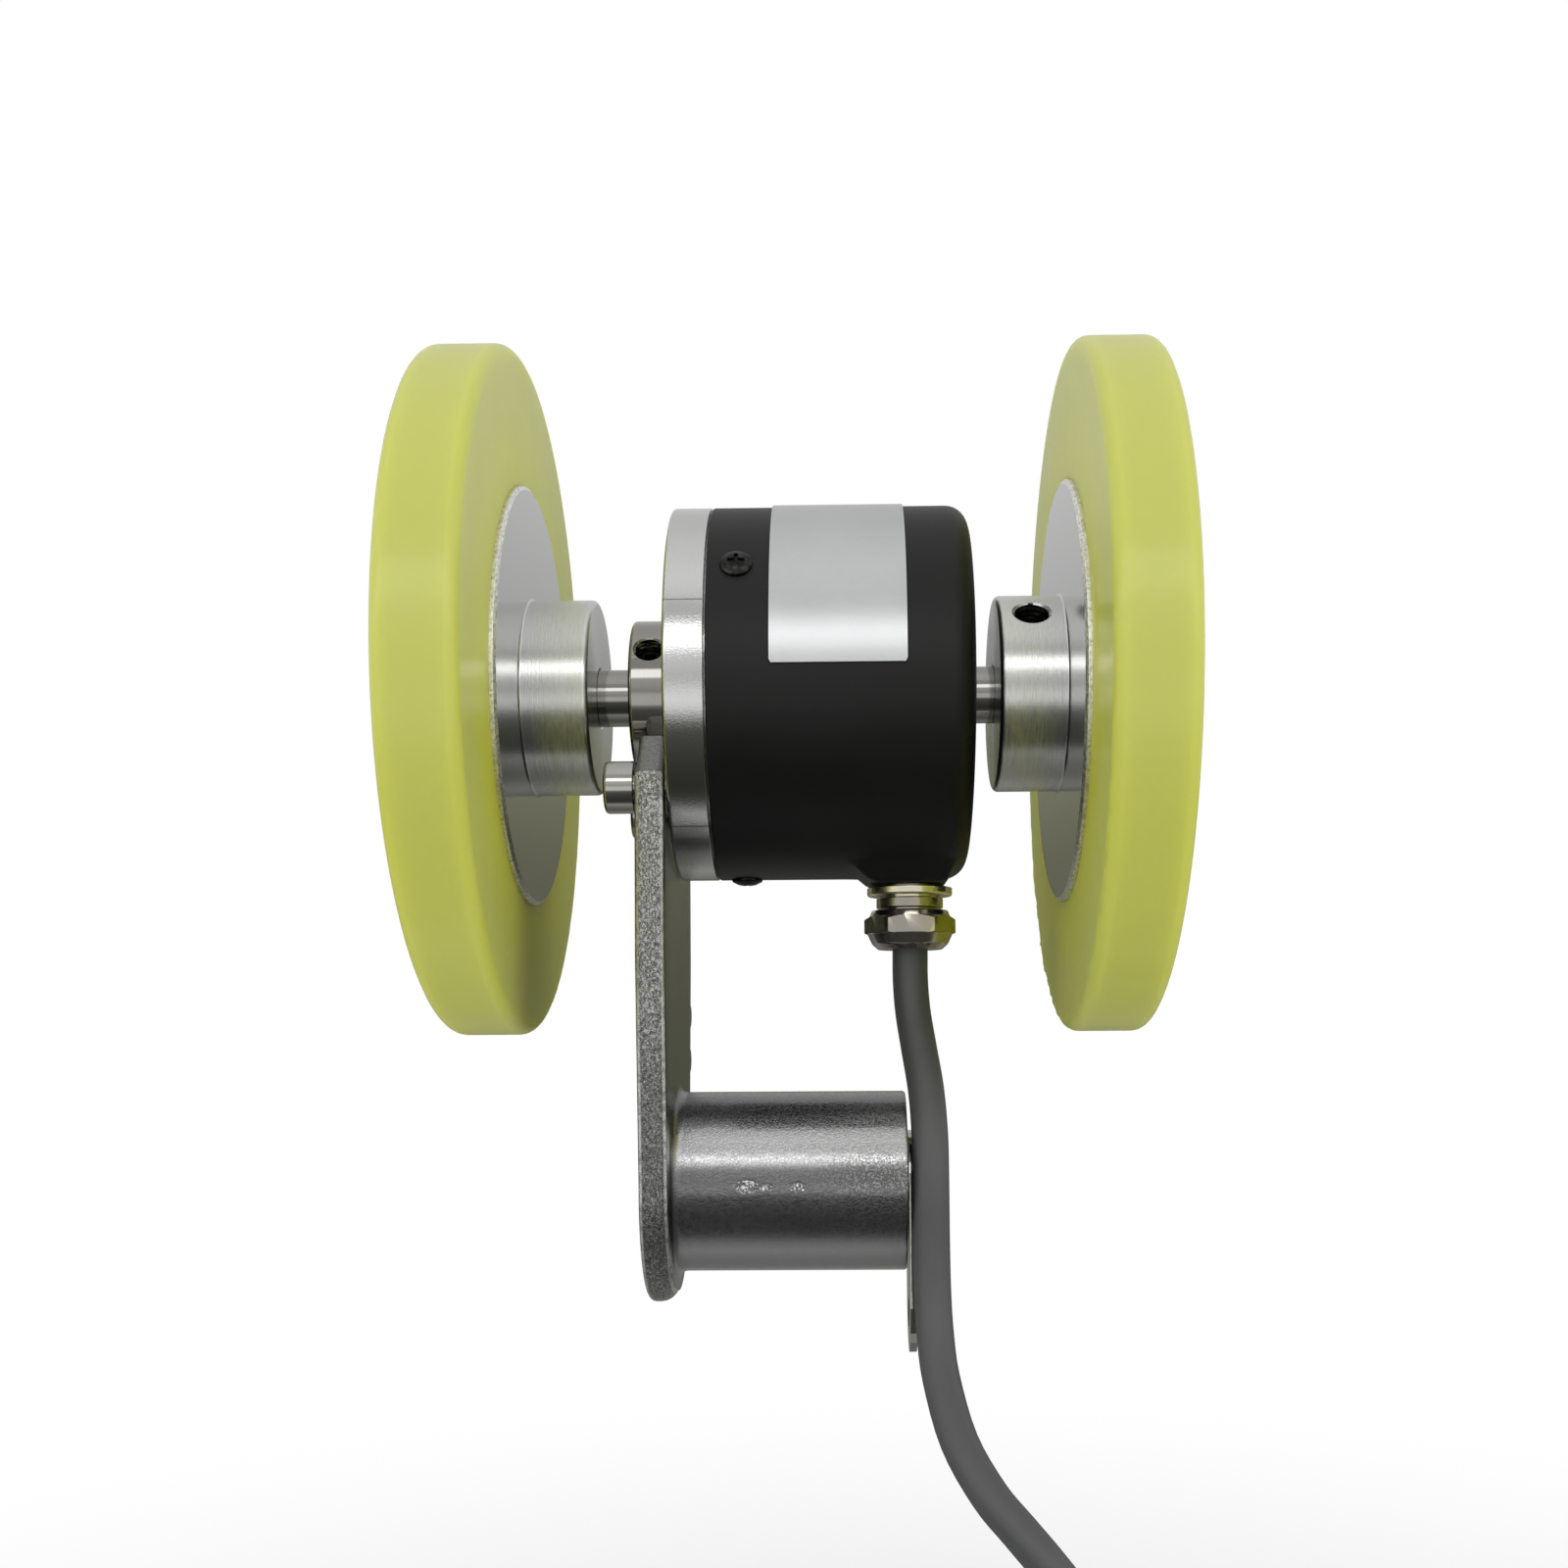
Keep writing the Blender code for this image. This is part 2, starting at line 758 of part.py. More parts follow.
def make_bearing(side, centre):
    """A deep-groove ball bearing: two races, and the balls in their cage, which turn as one."""
    ball_circle = (inner_race_top + outer_race_bottom) / 2
    half = bearing_width / 2
    narrow, wide = (share * ball_radius for share in groove_half_widths_share)
    deep = ball_circle + ball_radius + ball_room
    shallow = ball_circle - ball_radius - ball_room
    outer = washer(centre + half, centre - half, bearing_radius, outer_race_bottom)
    outer[-1:-1] = [
        (centre - wide, outer_race_bottom),
        (centre - narrow, deep),
        (centre + narrow, deep),
        (centre + wide, outer_race_bottom),
    ]
    turned(side + "_bearing_outer", outer, middle_sides, ground_steel, spin_axis).parent = swing_axis
    bpy.data.objects[side + "_bearing_outer"].location.z = arm_reach
    inner = washer(centre + half, centre - half, inner_race_top, hollow_radius + seat_gap)
    inner[1:1] = [
        (centre + wide, inner_race_top),
        (centre + narrow, shallow),
        (centre - narrow, shallow),
        (centre - wide, inner_race_top),
    ]
    turned(side + "_bearing_inner", inner, middle_sides, ground_steel, spin_axis)
    ball = bmesh.new()
    bmesh.ops.create_uvsphere(ball, u_segments=tiny_sides, v_segments=ball_rings, radius=ball_radius)
    ball_mesh = bpy.data.meshes.new("ball")
    ball.to_mesh(ball_mesh)
    ball.free()
    places = [
        Matrix.Translation((centre, 0, 0))
        @ round_shaft(full_turn * i / ball_count)
        @ Matrix.Translation((0, 0, ball_circle))
        for i in range(ball_count)
    ]
    balls = gathered(side + "_balls", ball_mesh, places, None, spin_axis, hidden=True)
    cage = turned(
        side + "_ball_cage",
        washer(
            centre + cage_half_width,
            centre - cage_half_width,
            ball_circle + cage_half_thickness,
            ball_circle - cage_half_thickness,
        ),
        middle_sides,
        ground_steel,
        spin_axis,
    )
    join(cage, balls)


def make_flange():
    """The bare front flange, with the bearing housing and the spigot that the cover slips over."""
    shoulder = bearing_bore - shoulder_drop
    front_seat = front_bearing + bearing_width / 2 + seat_gap
    rear_seat = rear_bearing - bearing_width / 2 - seat_gap
    ring_left = flange_back + ring_setback
    ring_right = ring_left + 2 * (ring_section + ring_squeeze)
    ring_floor = cover_bore - seat_gap - 2 * ring_section - ring_squeeze
    outline = [
        (housing_end, housing_radius),
        (spigot_end, housing_radius),
        (spigot_end, flange_spigot),
        (ring_right, flange_spigot),
        (ring_right, ring_floor),
        (ring_left, ring_floor),
        (ring_left, flange_spigot),
        (flange_back, flange_spigot),
        (flange_back, body_radius),
        (flange_face + flange_edge, body_radius),
        (flange_face, body_radius - flange_edge),
        (flange_face, bearing_bore),
        (front_seat, bearing_bore),
        (front_seat, shoulder),
        (rear_seat, shoulder),
        (rear_seat, bearing_bore),
        (housing_end, bearing_bore),
    ]
    flange = turned("encoder_flange", outline, body_sides, turned_aluminium, swing_axis)
    flange.location.z = arm_reach
    screw_x = cover_front + cover_screw_setback
    side_holes = radial_holes(
        "cover_screw_holes",
        cover_screw_radius + seat_gap,
        flange_spigot - cover_screw_bite - face_gap,
        flange_spigot + overrun,
        screw_x,
        cover_screw_angles,
        tiny_sides,
        swing_axis,
    )
    side_holes.location.z = arm_reach
    face_holes = screw_bores(
        "arm_screw_holes",
        arm_screw_radius + seat_gap,
        flange_face - overrun,
        flange_face + arm_screw_bite + face_gap,
    )
    cut(flange, side_holes, face_holes)
    ring = washer(
        ring_right - ring_squeeze, ring_left + ring_squeeze, flange_spigot, ring_floor + ring_squeeze
    )
    turned("cover_ring", ring, body_sides, black_rubber, swing_axis).location.z = arm_reach


def screw_bores(name, radius, low, high):
    """Cutters along X for the screws that hold the arm to the flange."""
    mesh = baked(turned(name, bar(high, low, radius), small_sides, None, None, True, True))
    return gathered(name, mesh, arm_screw_places(), None, swing_axis, hidden=True)


def arm_screw_places():
    spots = ((-arm_screw_y, arm_screw_z), (arm_screw_y, arm_screw_z))
    return [Matrix.Translation((0, y, arm_reach + z)) for y, z in spots]


def make_cover():
    """The black cover: a turned cup with the cable outlet's block under it."""
    outline = [
        (body_rear, 0),
        (body_rear, body_radius - cover_rear_radius),
        *[
            (
                body_rear - cover_rear_radius * (1 - math.cos(a * degree)),
                body_radius - cover_rear_radius * (1 - math.sin(a * degree)),
            )
            for a in (30, 60)
        ],
        (body_rear - cover_rear_radius, body_radius),
        (cover_front, body_radius),
        (cover_front, 0),
    ]
    cover = turned("encoder_cover", outline, body_sides, black_coat, swing_axis)
    cover.location.z = arm_reach
    outlet = box(
        "outlet_block",
        (gland_x - outlet_left, -outlet_half_width, outlet_z),
        (gland_x + outlet_right, outlet_half_width, outlet_root_z),
        None,
        swing_axis,
        hidden=True,
    )
    for vertex in outlet.data.vertices:
        if vertex.co.z > (outlet_z + outlet_root_z) / 2:
            vertex.co.x = gland_x + (outlet_root_right if vertex.co.x > gland_x else -outlet_root_left)
            vertex.co.y = math.copysign(outlet_root_half_width, vertex.co.y)
    seal_pocket = rear_seal_radius + seat_gap
    pocket_end = cover_inside + rear_seal_thickness + seat_gap
    cavity = turned(
        "cover_cavity",
        [
            (body_rear + overrun, 0),
            (body_rear + overrun, cover_hole),
            (pocket_end, cover_hole),
            (pocket_end, seal_pocket),
            (cover_inside, seal_pocket),
            (cover_inside, cover_bore),
            (cover_front - overrun, cover_bore),
            (cover_front - overrun, 0),
        ],
        body_sides,
        None,
        swing_axis,
        hidden=True,
    )
    cavity.location.z = arm_reach
    gland_hole = turned(
        "gland_hole",
        bar(outlet_root_z, outlet_z - overrun, gland_thread_radius + seat_gap),
        small_sides,
        None,
        swing_axis,
        False,
        True,
    )
    gland_hole.location.x = gland_x
    screw_x = cover_front + cover_screw_setback
    holes = radial_holes(
        "cover_holes",
        cover_screw_radius + seat_gap,
        cover_bore - overrun,
        body_radius + overrun,
        screw_x,
        cover_screw_angles,
        tiny_sides,
        swing_axis,
    )
    holes.location.z = arm_reach
    join(cover, outlet)
    cut(cover, cavity, gland_hole, holes)
    make_cover_screws(screw_x)
    start = -cover_label_turn()
    skin = body_radius + seat_gap / 2
    turns = label_facets * full_turn / body_sides
    sheet = arc(skin + label_thickness, math.pi, math.pi + start, label_facets)
    sheet += arc(skin, math.pi + start, math.pi, label_facets)
    assert abs(turns + start) < degree
    label_left = cover_front + label_setback
    label = flat(
        "rating_label", [sheet], label_left, label_left + label_width, silver_foil, swing_axis
    )
    label.location.z = arm_reach
    seal_left = cover_inside + seat_gap / 2
    seal = washer(
        seal_left + rear_seal_thickness, seal_left, rear_seal_radius, hollow_radius + run_gap
    )
    turned("rear_seal", seal, middle_sides, black_rubber, swing_axis).location.z = arm_reach


def cover_label_turn():
    return label_facets * full_turn / body_sides


def make_cover_screws(screw_x):
    """Pan-head screws with a cross recess, set round the cover."""
    seat = body_radius + seat_gap
    crown = seat + cover_screw_head
    outline = [
        (crown, 0),
        (crown, cover_screw_head_radius / 2),
        (seat + cover_screw_head / 2, cover_screw_head_radius),
        (seat, cover_screw_head_radius),
        (seat, cover_screw_radius),
        (flange_spigot - cover_screw_bite, cover_screw_radius),
        (flange_spigot - cover_screw_bite, 0),
    ]
    screw = turned("cover_screw", outline, small_sides, None, None, False, True)
    bars = []
    for half_x, half_y in (
        (cross_half_length, cross_half_width),
        (cross_half_width, cross_half_length),
    ):
        bars.append(
            box(
                "cross",
                (-half_x, -half_y, crown - cross_depth),
                (half_x, half_y, crown + overrun),
                None,
                None,
                hidden=True,
            )
        )
    cut(screw, *bars)
    mesh = baked(screw)
    for each in bars:
        bpy.data.objects.remove(each, do_unlink=True)
    places = [
        Matrix.Translation((screw_x, 0, arm_reach)) @ round_shaft(angle)
        for angle in cover_screw_angles
    ]
    copies("cover_screw", mesh, places, black_steel, swing_axis)


def make_disc_and_board():
    """The pulse disc on its hub, and the board with the reader that it turns through."""
    turned(
        "disc_hub",
        washer(
            disc_hub_left + disc_hub_length,
            disc_hub_left,
            disc_hub_radius,
            hollow_radius + seat_gap,
            hub_edge,
        ),
        middle_sides,
        turned_aluminium,
        spin_axis,
    )
    turned(
        "pulse_disc",
        washer(disc_left + disc_thickness, disc_left, disc_radius, hollow_radius + seat_gap),
        middle_sides,
        disc_glass,
        spin_axis,
    )
    holes = [circle(board_hole, middle_sides)]
    for angle in board_screw_angles:
        centre = off_shaft(angle, board_screw_circle)
        holes.append(circle(board_screw_radius + seat_gap, tiny_sides, centre))
    board = flat(
        "sensor_board",
        [circle(board_radius, middle_sides), *holes],
        board_left,
        board_right,
        board_green,
        swing_axis,
    )
    board.location.z = arm_reach
    spots = [
        Matrix.Translation((0, y, arm_reach + z))
        for y, z in (off_shaft(angle, board_screw_circle) for angle in board_screw_angles)
    ]
    post_right = board_left - seat_gap
    post_left = spigot_end + seat_gap
    screw_end = board_left - board_screw_bite
    bore = board_screw_radius + seat_gap
    post = [
        (screw_end - seat_gap, 0),
        (screw_end - seat_gap, bore),
        (post_right, bore),
        (post_right, standoff_radius),
        (post_left, standoff_radius),
        (post_left, 0),
    ]
    mesh = baked(turned("standoff", post, tiny_sides, None, None, True, True))
    copies("board_standoff", mesh, spots, plated_brass, swing_axis)
    head = board_right + seat_gap
    screw = [
        (head + board_screw_head, 0),
        (head + board_screw_head, board_screw_head_radius),
        (head, board_screw_head_radius),
        (head, board_screw_radius),
        (screw_end, board_screw_radius),
        (screw_end, 0),
    ]
    mesh = baked(turned("board_screw", screw, tiny_sides, None, None, True, True))
    copies("board_screw", mesh, spots, ground_steel, swing_axis)
    turn = Matrix.Translation((0, 0, arm_reach)) @ round_shaft(reader_angle)
    reader_right = board_left - seat_gap
    reader_inner = disc_hub_radius + reader_room
    slot_left = disc_left + disc_thickness / 2 - reader_slot
    slot_right = disc_left + disc_thickness / 2 + reader_slot
    reader_arm = (slot_left - spigot_end) * reader_arm_share
    reader = box(
        "disc_reader",
        (slot_left - reader_arm, -reader_width / 2, reader_inner),
        (reader_right, reader_width / 2, disc_radius + reader_back),
        black_coat,
        swing_axis,
    )
    slot = box(
        "reader_slot",
        (slot_left, -reader_width, reader_inner - overrun),
        (slot_right, reader_width, disc_radius + run_gap),
        None,
        swing_axis,
        hidden=True,
    )
    for each in (reader, slot):
        each.data.transform(turn)
    cut(reader, slot)
    connector_left = board_right + seat_gap
    box(
        "board_connector",
        (connector_left, -connector_width / 2, connector_bottom),
        (connector_left + connector_depth, connector_width / 2, connector_top),
        white_nylon,
        swing_axis,
    )
    return connector_left + connector_depth / 2


def make_gland(connector_x):
    """The cable gland: sealing washer, body, clamping nut and seal, with the cable's end inside."""
    at = (gland_x, 0, 0)
    bore = cable_radius + seat_gap
    washer_bottom = gland_washer_top - gland_washer_thickness
    ring = washer(
        gland_washer_top, washer_bottom, gland_washer_radius, gland_thread_radius + seat_gap
    )
    turned("gland_washer", ring, middle_sides, plated_brass, swing_axis, False).location = at
    hex_bottom = gland_hex_top - gland_hex_length
    stem_bottom = hex_bottom - gland_stem_length
    thread_top = gland_thread_top
    stem = [
        (thread_top, 0),
        (thread_top, gland_thread_radius),
        (gland_hex_top, gland_thread_radius),
        (gland_hex_top, gland_stem_radius),
        (stem_bottom, gland_stem_radius),
        (stem_bottom, 0),
    ]
    body = turned("gland_body", stem, small_sides, plated_brass, swing_axis, False)
    hexagon = bar(gland_hex_top, hex_bottom, gland_hex_radius)
    hexagon = turned("body_hexagon", hexagon, 6, None, swing_axis, False, True)
    body_bore = bar(thread_top + overrun, stem_bottom - overrun, bore)
    body_bore = turned("body_bore", body_bore, small_sides, None, swing_axis, False, True)
    for each in (body, hexagon, body_bore):
        each.location = at
    join(body, hexagon)
    cut(body, body_bore)
    nut_bore = gland_stem_radius + seat_gap
    mouth = bore
    band_top, band_bottom = (gland_nut_top - share * gland_nut_length for share in gland_nut_band_shares)
    nut_floor = gland_nut_bottom + gland_wall
    dome = [
        (gland_nut_top, gland_nut_radius * gland_nut_waist_share),
        (band_top, gland_nut_radius),
        (band_bottom, gland_nut_radius),
        (gland_nut_bottom + gland_wall / 2, gland_nut_radius * gland_nut_waist_share * gland_nut_waist_share),
        (gland_nut_bottom, gland_nut_radius * gland_nut_mouth_share),
        (gland_nut_bottom, mouth),
        (nut_floor, mouth),
        (nut_floor, nut_bore),
        (gland_nut_top, nut_bore),
    ]
    nut = turned("gland_nut", dome, middle_sides, plated_brass, swing_axis, False)
    nut.location = at
    hexagon = turned(
        "nut_hexagon",
        bar(gland_nut_top + overrun, gland_nut_bottom - overrun, gland_nut_radius),
        6,
        None,
        swing_axis,
        False,
        True,
    )
    hexagon.location = at
    keep = nut.modifiers.new("hexagon", "BOOLEAN")
    keep.operation = "INTERSECT"
    keep.object = hexagon
    seal_top = stem_bottom - seat_gap
    seal = washer(seal_top, nut_floor + seat_gap, gland_stem_radius, bore)
    turned("gland_seal", seal, small_sides, black_rubber, swing_axis, False).location = at
    tail = bar(cable_inner_top, gland_nut_bottom, cable_radius)
    turned("cable_tail", tail, tiny_sides, grey_pvc, swing_axis, False).location = at
    lead_bottom = cable_inner_top + face_gap
    lead_top = connector_bottom - face_gap
    run = lead_top - lead_bottom
    points = []
    for along_share, aside_share in lead_shares:
        x = gland_x + (connector_x - gland_x) * aside_share
        points.append((x, 0, lead_bottom + run * along_share))
    tube("inner_leads", points, lead_radius, 1, grey_pvc, swing_axis)


def arm_outline():
    """The arm's plate, seen from the right: a notch round the collar, a round end at the barrel."""
    top = arm_reach - arm_top_drop
    notch = collar_radius + 2 * run_gap
    notch_half = math.sqrt(notch**2 - arm_top_drop**2)
    notch_angle = math.atan2(-arm_top_drop, notch_half)
    tangent = math.atan2(arm_half_width - arm_end_radius, arm_taper_height)
    points = [(notch_half, top), (arm_half_width - arm_chamfer, top)]
    points.append((arm_half_width, top - arm_chamfer))
    points.append((arm_half_width, arm_taper_height))
    edge_high = Vector(points[-1])
    edge_low = Vector(arc(arm_end_radius, tangent / 2, 0, 1)[0])
    lean = math.atan2(edge_high.y - edge_low.y, edge_high.x - edge_low.x)
    for height in lobe_heights:
        share = (height - edge_low.y) / (edge_high.y - edge_low.y)
        points += arc(lobe_radius, lean, lean - math.pi, lobe_steps, edge_low.lerp(edge_high, share))
    points += arc(arm_end_radius, tangent / 2, -math.pi - tangent / 2, end_steps)
    points.append((-arm_half_width, arm_taper_height))
    points.append((-arm_half_width, top - arm_chamfer))
    points += [(-arm_half_width + arm_chamfer, top), (-notch_half, top)]
    points += arc(notch, -math.pi - notch_angle, notch_angle, notch_steps, (0, arm_reach))[1:-1]
    return points


def make_arm():
    """The cast arm: plate, barrel with its bore, and what the spring and the stop need."""
    arm = flat("arm_casting", [arm_outline()], arm_back, arm_face, cast_metal, swing_axis)
    barrel = turned(
        "barrel",
        [
            (barrel_right, 0),
            (barrel_right, barrel_radius - head_edge),
            (barrel_right - head_edge, barrel_radius),
            (arm_face + barrel_root, barrel_radius),
            (arm_face + barrel_root / 3, barrel_radius + barrel_root / 3),
            (arm_face, barrel_radius + barrel_root),
            (arm_face - arm_thickness / 2, barrel_radius + barrel_root),
            (arm_face - arm_thickness / 2, 0),
        ],
        middle_sides,
        None,
        swing_axis,
        True,
        True,
    )
    bush_seat = left_bush_radius + seat_gap
    chamber_left = counterbore_floor + bush_length + seat_gap
    counterbore = washer_radius + counterbore_wall
    bore = turned(
        "barrel_bore",
        [
            (barrel_right + overrun, 0),
            (barrel_right + overrun, barrel_bore),
            (chamber_left, barrel_bore),
            (chamber_left, bush_seat),
            (counterbore_floor, bush_seat),
            (counterbore_floor, counterbore),
            (arm_back - overrun, counterbore),
            (arm_back - overrun, 0),
        ],
        middle_sides,
        None,
        swing_axis,
        True,
        True,
    )
    screw_holes = screw_bores(
        "arm_holes", arm_screw_radius + seat_gap, arm_back - overrun, arm_face + overrun
    )
    play = math.asin((stop_half_width + face_gap) / stop_outer)
    sector_low = stop_angle - play - swing
    sector_high = stop_angle + play
    sector = arc(barrel_bore - overrun, sector_low, sector_high, stop_steps)
    sector += arc(barrel_radius + overrun, sector_high, sector_low, stop_steps)
    notch = flat(
        "stop_notch",
        [sector],
        barrel_right - stop_length - face_gap,
        barrel_right + overrun,
        None,
        swing_axis,
        hidden=True,
    )
    leg_hole = turned(
        "leg_hole",
        bar(spring_outer_leg + face_gap, 0, wire_radius + face_gap),
        small_sides,
        None,
        swing_axis,
        False,
        True,
    )
    leg_hole.location.x = spring_left_x()
    join(arm, barrel)
    cut(arm, bore, screw_holes, notch, leg_hole)
    head_left = arm_back - face_gap - arm_screw_head
    outline = [
        (flange_face + arm_screw_bite, 0),
        (flange_face + arm_screw_bite, arm_screw_radius),
        (arm_back - face_gap, arm_screw_radius),
        (arm_back - face_gap, arm_screw_head_radius),
        (head_left + head_edge, arm_screw_head_radius),
        (head_left, arm_screw_head_radius - head_edge),
        (head_left, 0),
    ]
    screw = turned("arm_screw", outline, small_sides, None, None, True, True)
    depth = arm_screw_head * key_depth_share
    key_outline = bar(head_left + depth, head_left - overrun, arm_screw_key_radius)
    key = turned("arm_screw_key", key_outline, 6, None, None, True, True)
    cut(screw, key)
    mesh = baked(screw)
    bpy.data.objects.remove(key, do_unlink=True)
    copies("arm_screw", mesh, arm_screw_places(), ground_steel, swing_axis)
    bush_bore = sleeve_radius + seat_gap
    left_end = counterbore_floor + bush_length
    left = washer(left_end, counterbore_floor + seat_gap, left_bush_radius, bush_bore)
    turned("left_bush", left, middle_sides, white_nylon, swing_axis)
    right_end = barrel_right - stop_length - 2 * face_gap
    right = washer(right_end, right_end - bush_length, barrel_bore - seat_gap, bush_bore)
    turned("right_bush", right, middle_sides, white_nylon, swing_axis)


def spring_left_x():
    return counterbore_floor + bush_length + seat_gap + spring_end_room


def spring_right_x():
    return barrel_right - stop_length - 2 * face_gap - bush_length - spring_end_room


def make_pivot():
    """The fixed sleeve that the machine's bolt passes, its strip with the stop, and the spring."""
    groove = sleeve_radius - clip_groove_depth
    outline = [
        (0, spigot_radius),
        (barrel_right, spigot_radius),
        (barrel_right, sleeve_radius),
        (clip_right + seat_gap / 2, sleeve_radius),
        (clip_right + seat_gap / 2, groove),
        (clip_left - seat_gap / 2, groove),
        (clip_left - seat_gap / 2, sleeve_radius),
        (sleeve_left, sleeve_radius),
        (sleeve_left, bolt_bore),
        (0, bolt_bore),
    ]
    sleeve = turned("pivot_sleeve", outline, middle_sides, ground_steel, pivot_axis)
    leg_hole = turned(
        "inner_leg_hole",
        bar(sleeve_radius + overrun, spring_inner_leg - face_gap, wire_radius + face_gap),
        small_sides,
        None,
        pivot_axis,
        False,
        True,
    )
    leg_hole.location.x = spring_right_x()
    leg_hole.rotation_euler.x = full_turn * spring_turns
    cut(sleeve, leg_hole)
    turned(
        "thrust_washer",
        washer(
            washer_left + washer_thickness, washer_left, washer_radius, sleeve_radius + seat_gap
        ),
        middle_sides,
        ground_steel,
        pivot_axis,
    )
    low = math.pi / 2 + clip_mouth / 2
    high = low + full_turn - clip_mouth
    ring = arc(clip_radius, low, high, small_sides)
    ring += arc(groove + seat_gap, high, low, small_sides)
    flat("retaining_clip", [ring], clip_left, clip_right, spring_steel, pivot_axis)
    end_centre = (0, -(strip_reach - strip_half_width))
    ear_half_width = stop_half_width + ear_edge
    ear_half_angle = math.asin(ear_half_width / strip_half_width)
    ear_corner_angle = math.atan2(ear_half_width, stop_outer + ear_edge)
    ear_corner = math.hypot(ear_half_width, stop_outer + ear_edge)
    strip = [(strip_half_width, 0)]
    strip += arc(strip_half_width, stop_angle - ear_half_angle, 0, 1)[:1]
    strip += arc(ear_corner, stop_angle - ear_corner_angle, stop_angle + ear_corner_angle, 1)
    strip += arc(strip_half_width, stop_angle + ear_half_angle, math.pi, strip_steps)
    strip += arc(strip_half_width, math.pi, full_turn, strip_steps, end_centre)
    holes = [
        circle(spigot_radius + seat_gap, middle_sides),
        circle(strip_hole_radius, small_sides, (0, -strip_hole_drop)),
    ]
    anchor = flat(
        "anchor_strip", [strip, *holes], -strip_thickness, 0, ground_steel, pivot_axis
    )
    lug = box(
        "stop_lug",
        (barrel_right - stop_length, stop_inner, -stop_half_width),
        (-strip_thickness / 2, stop_outer, stop_half_width),
        None,
        pivot_axis,
        hidden=True,
    )
    lug.data.transform(Matrix.Rotation(stop_angle, 4, "X"))
    join(anchor, lug)
    make_spring()


def make_spring():
    """One wire: a leg out into the barrel, the turns, and a leg in to the sleeve."""
    left = spring_left_x()
    right = spring_right_x()
    count = round(spring_turns * spring_points)
    points = [(left, 0, spring_outer_leg), (left, 0, spring_radius + wire_radius)]
    for i in range(count + 1):
        turn = full_turn * spring_turns * i / count
        x = left + (right - left) * i / count
        points.append((x, -spring_radius * math.sin(turn), spring_radius * math.cos(turn)))
    points.append((right, -spring_inner_leg * math.sin(turn), spring_inner_leg * math.cos(turn)))
    tube("torsion_spring", points, wire_radius, 1, spring_steel, pivot_axis)


def coil_path():
    """Points of the coil: loops that spiral in and out again, a layer higher each time."""
    turns = coil_layers * coil_turns_a_layer
    outer = -route[-1][1]
    centre_x = route[-1][0] + 2 * cable_radius + face_gap
    bottom = route[-1][2]
    count = round(turns * coil_points)
    points = [(route[-1][0] + face_gap, -outer, bottom)]
    for i in range(count + 1):
        t = i / coil_points
        layer = math.floor(t / coil_turns_a_layer)
        inward = t - layer * coil_turns_a_layer
        if layer % 2:
            inward = coil_turns_a_layer - inward
        height = 0.0
        for change in range(1, coil_layers):
            height += min(1, max(0, (t - change * coil_turns_a_layer) * 2 + 0.5))
        radius = outer - inward * coil_pitch
        angle = -math.pi / 2 + full_turn * t
        points.append(
            (
                centre_x + radius * math.cos(angle),
                radius * math.sin(angle),
                bottom + height * coil_pitch,
            )
        )
    end = Vector(points[-1])
    angle = -math.pi / 2 + full_turn * turns
    along = Vector((-math.sin(angle), math.cos(angle), 0))
    points.append(tuple(end + along * 2 * cable_radius))
    return points, Vector((centre_x, 0, 0)), angle


def least_self_gap(points, radius):
    """The least distance between stretches of the tube that lie more than half a turn apart."""
    least = full_turn
    apart = round(coil_points / 2)
    for i, a in enumerate(points):
        for start, end in zip(points[i + apart :], points[i + apart + 1 :]):
            first, step = Vector(start), Vector(end) - Vector(start)
            share = min(1, max(0, (Vector(a) - first).dot(step) / step.length_squared))
            least = min(least, (Vector(a) - first - step * share).length)
    return least - 2 * radius


def shading():
    """Nodes that shade a mesh smooth and keep the edges past the corner angle sharp."""
    made = bpy.data.node_groups.new("smooth by angle", "GeometryNodeTree")
    made.interface.new_socket("Geometry", in_out="INPUT", socket_type="NodeSocketGeometry")
    made.interface.new_socket("Geometry", in_out="OUTPUT", socket_type="NodeSocketGeometry")
    start = made.nodes.new("NodeGroupInput")
    end = made.nodes.new("NodeGroupOutput")
    faces = made.nodes.new("GeometryNodeSetShadeSmooth")
    edges = made.nodes.new("GeometryNodeSetShadeSmooth")
    edges.domain = "EDGE"
    angle = made.nodes.new("GeometryNodeInputMeshEdgeAngle")
    gentle = made.nodes.new("FunctionNodeCompare")
    gentle.operation = "LESS_THAN"
    gentle.inputs["B"].default_value = corner_angle
    made.links.new(angle.outputs["Unsigned Angle"], gentle.inputs["A"])
    made.links.new(gentle.outputs["Result"], edges.inputs["Shade Smooth"])
    made.links.new(start.outputs["Geometry"], faces.inputs["Geometry"])
    made.links.new(faces.outputs["Geometry"], edges.inputs["Geometry"])
    made.links.new(edges.outputs["Geometry"], end.inputs["Geometry"])
    return made


def shade_pieces():
    """Shades every mesh piece smooth between its corners. The tubes are smooth as they are."""
    nodes = shading()
    for piece in parts.objects:
        if piece.type == "MESH":
            piece.modifiers.new("shading", "NODES").node_group = nodes


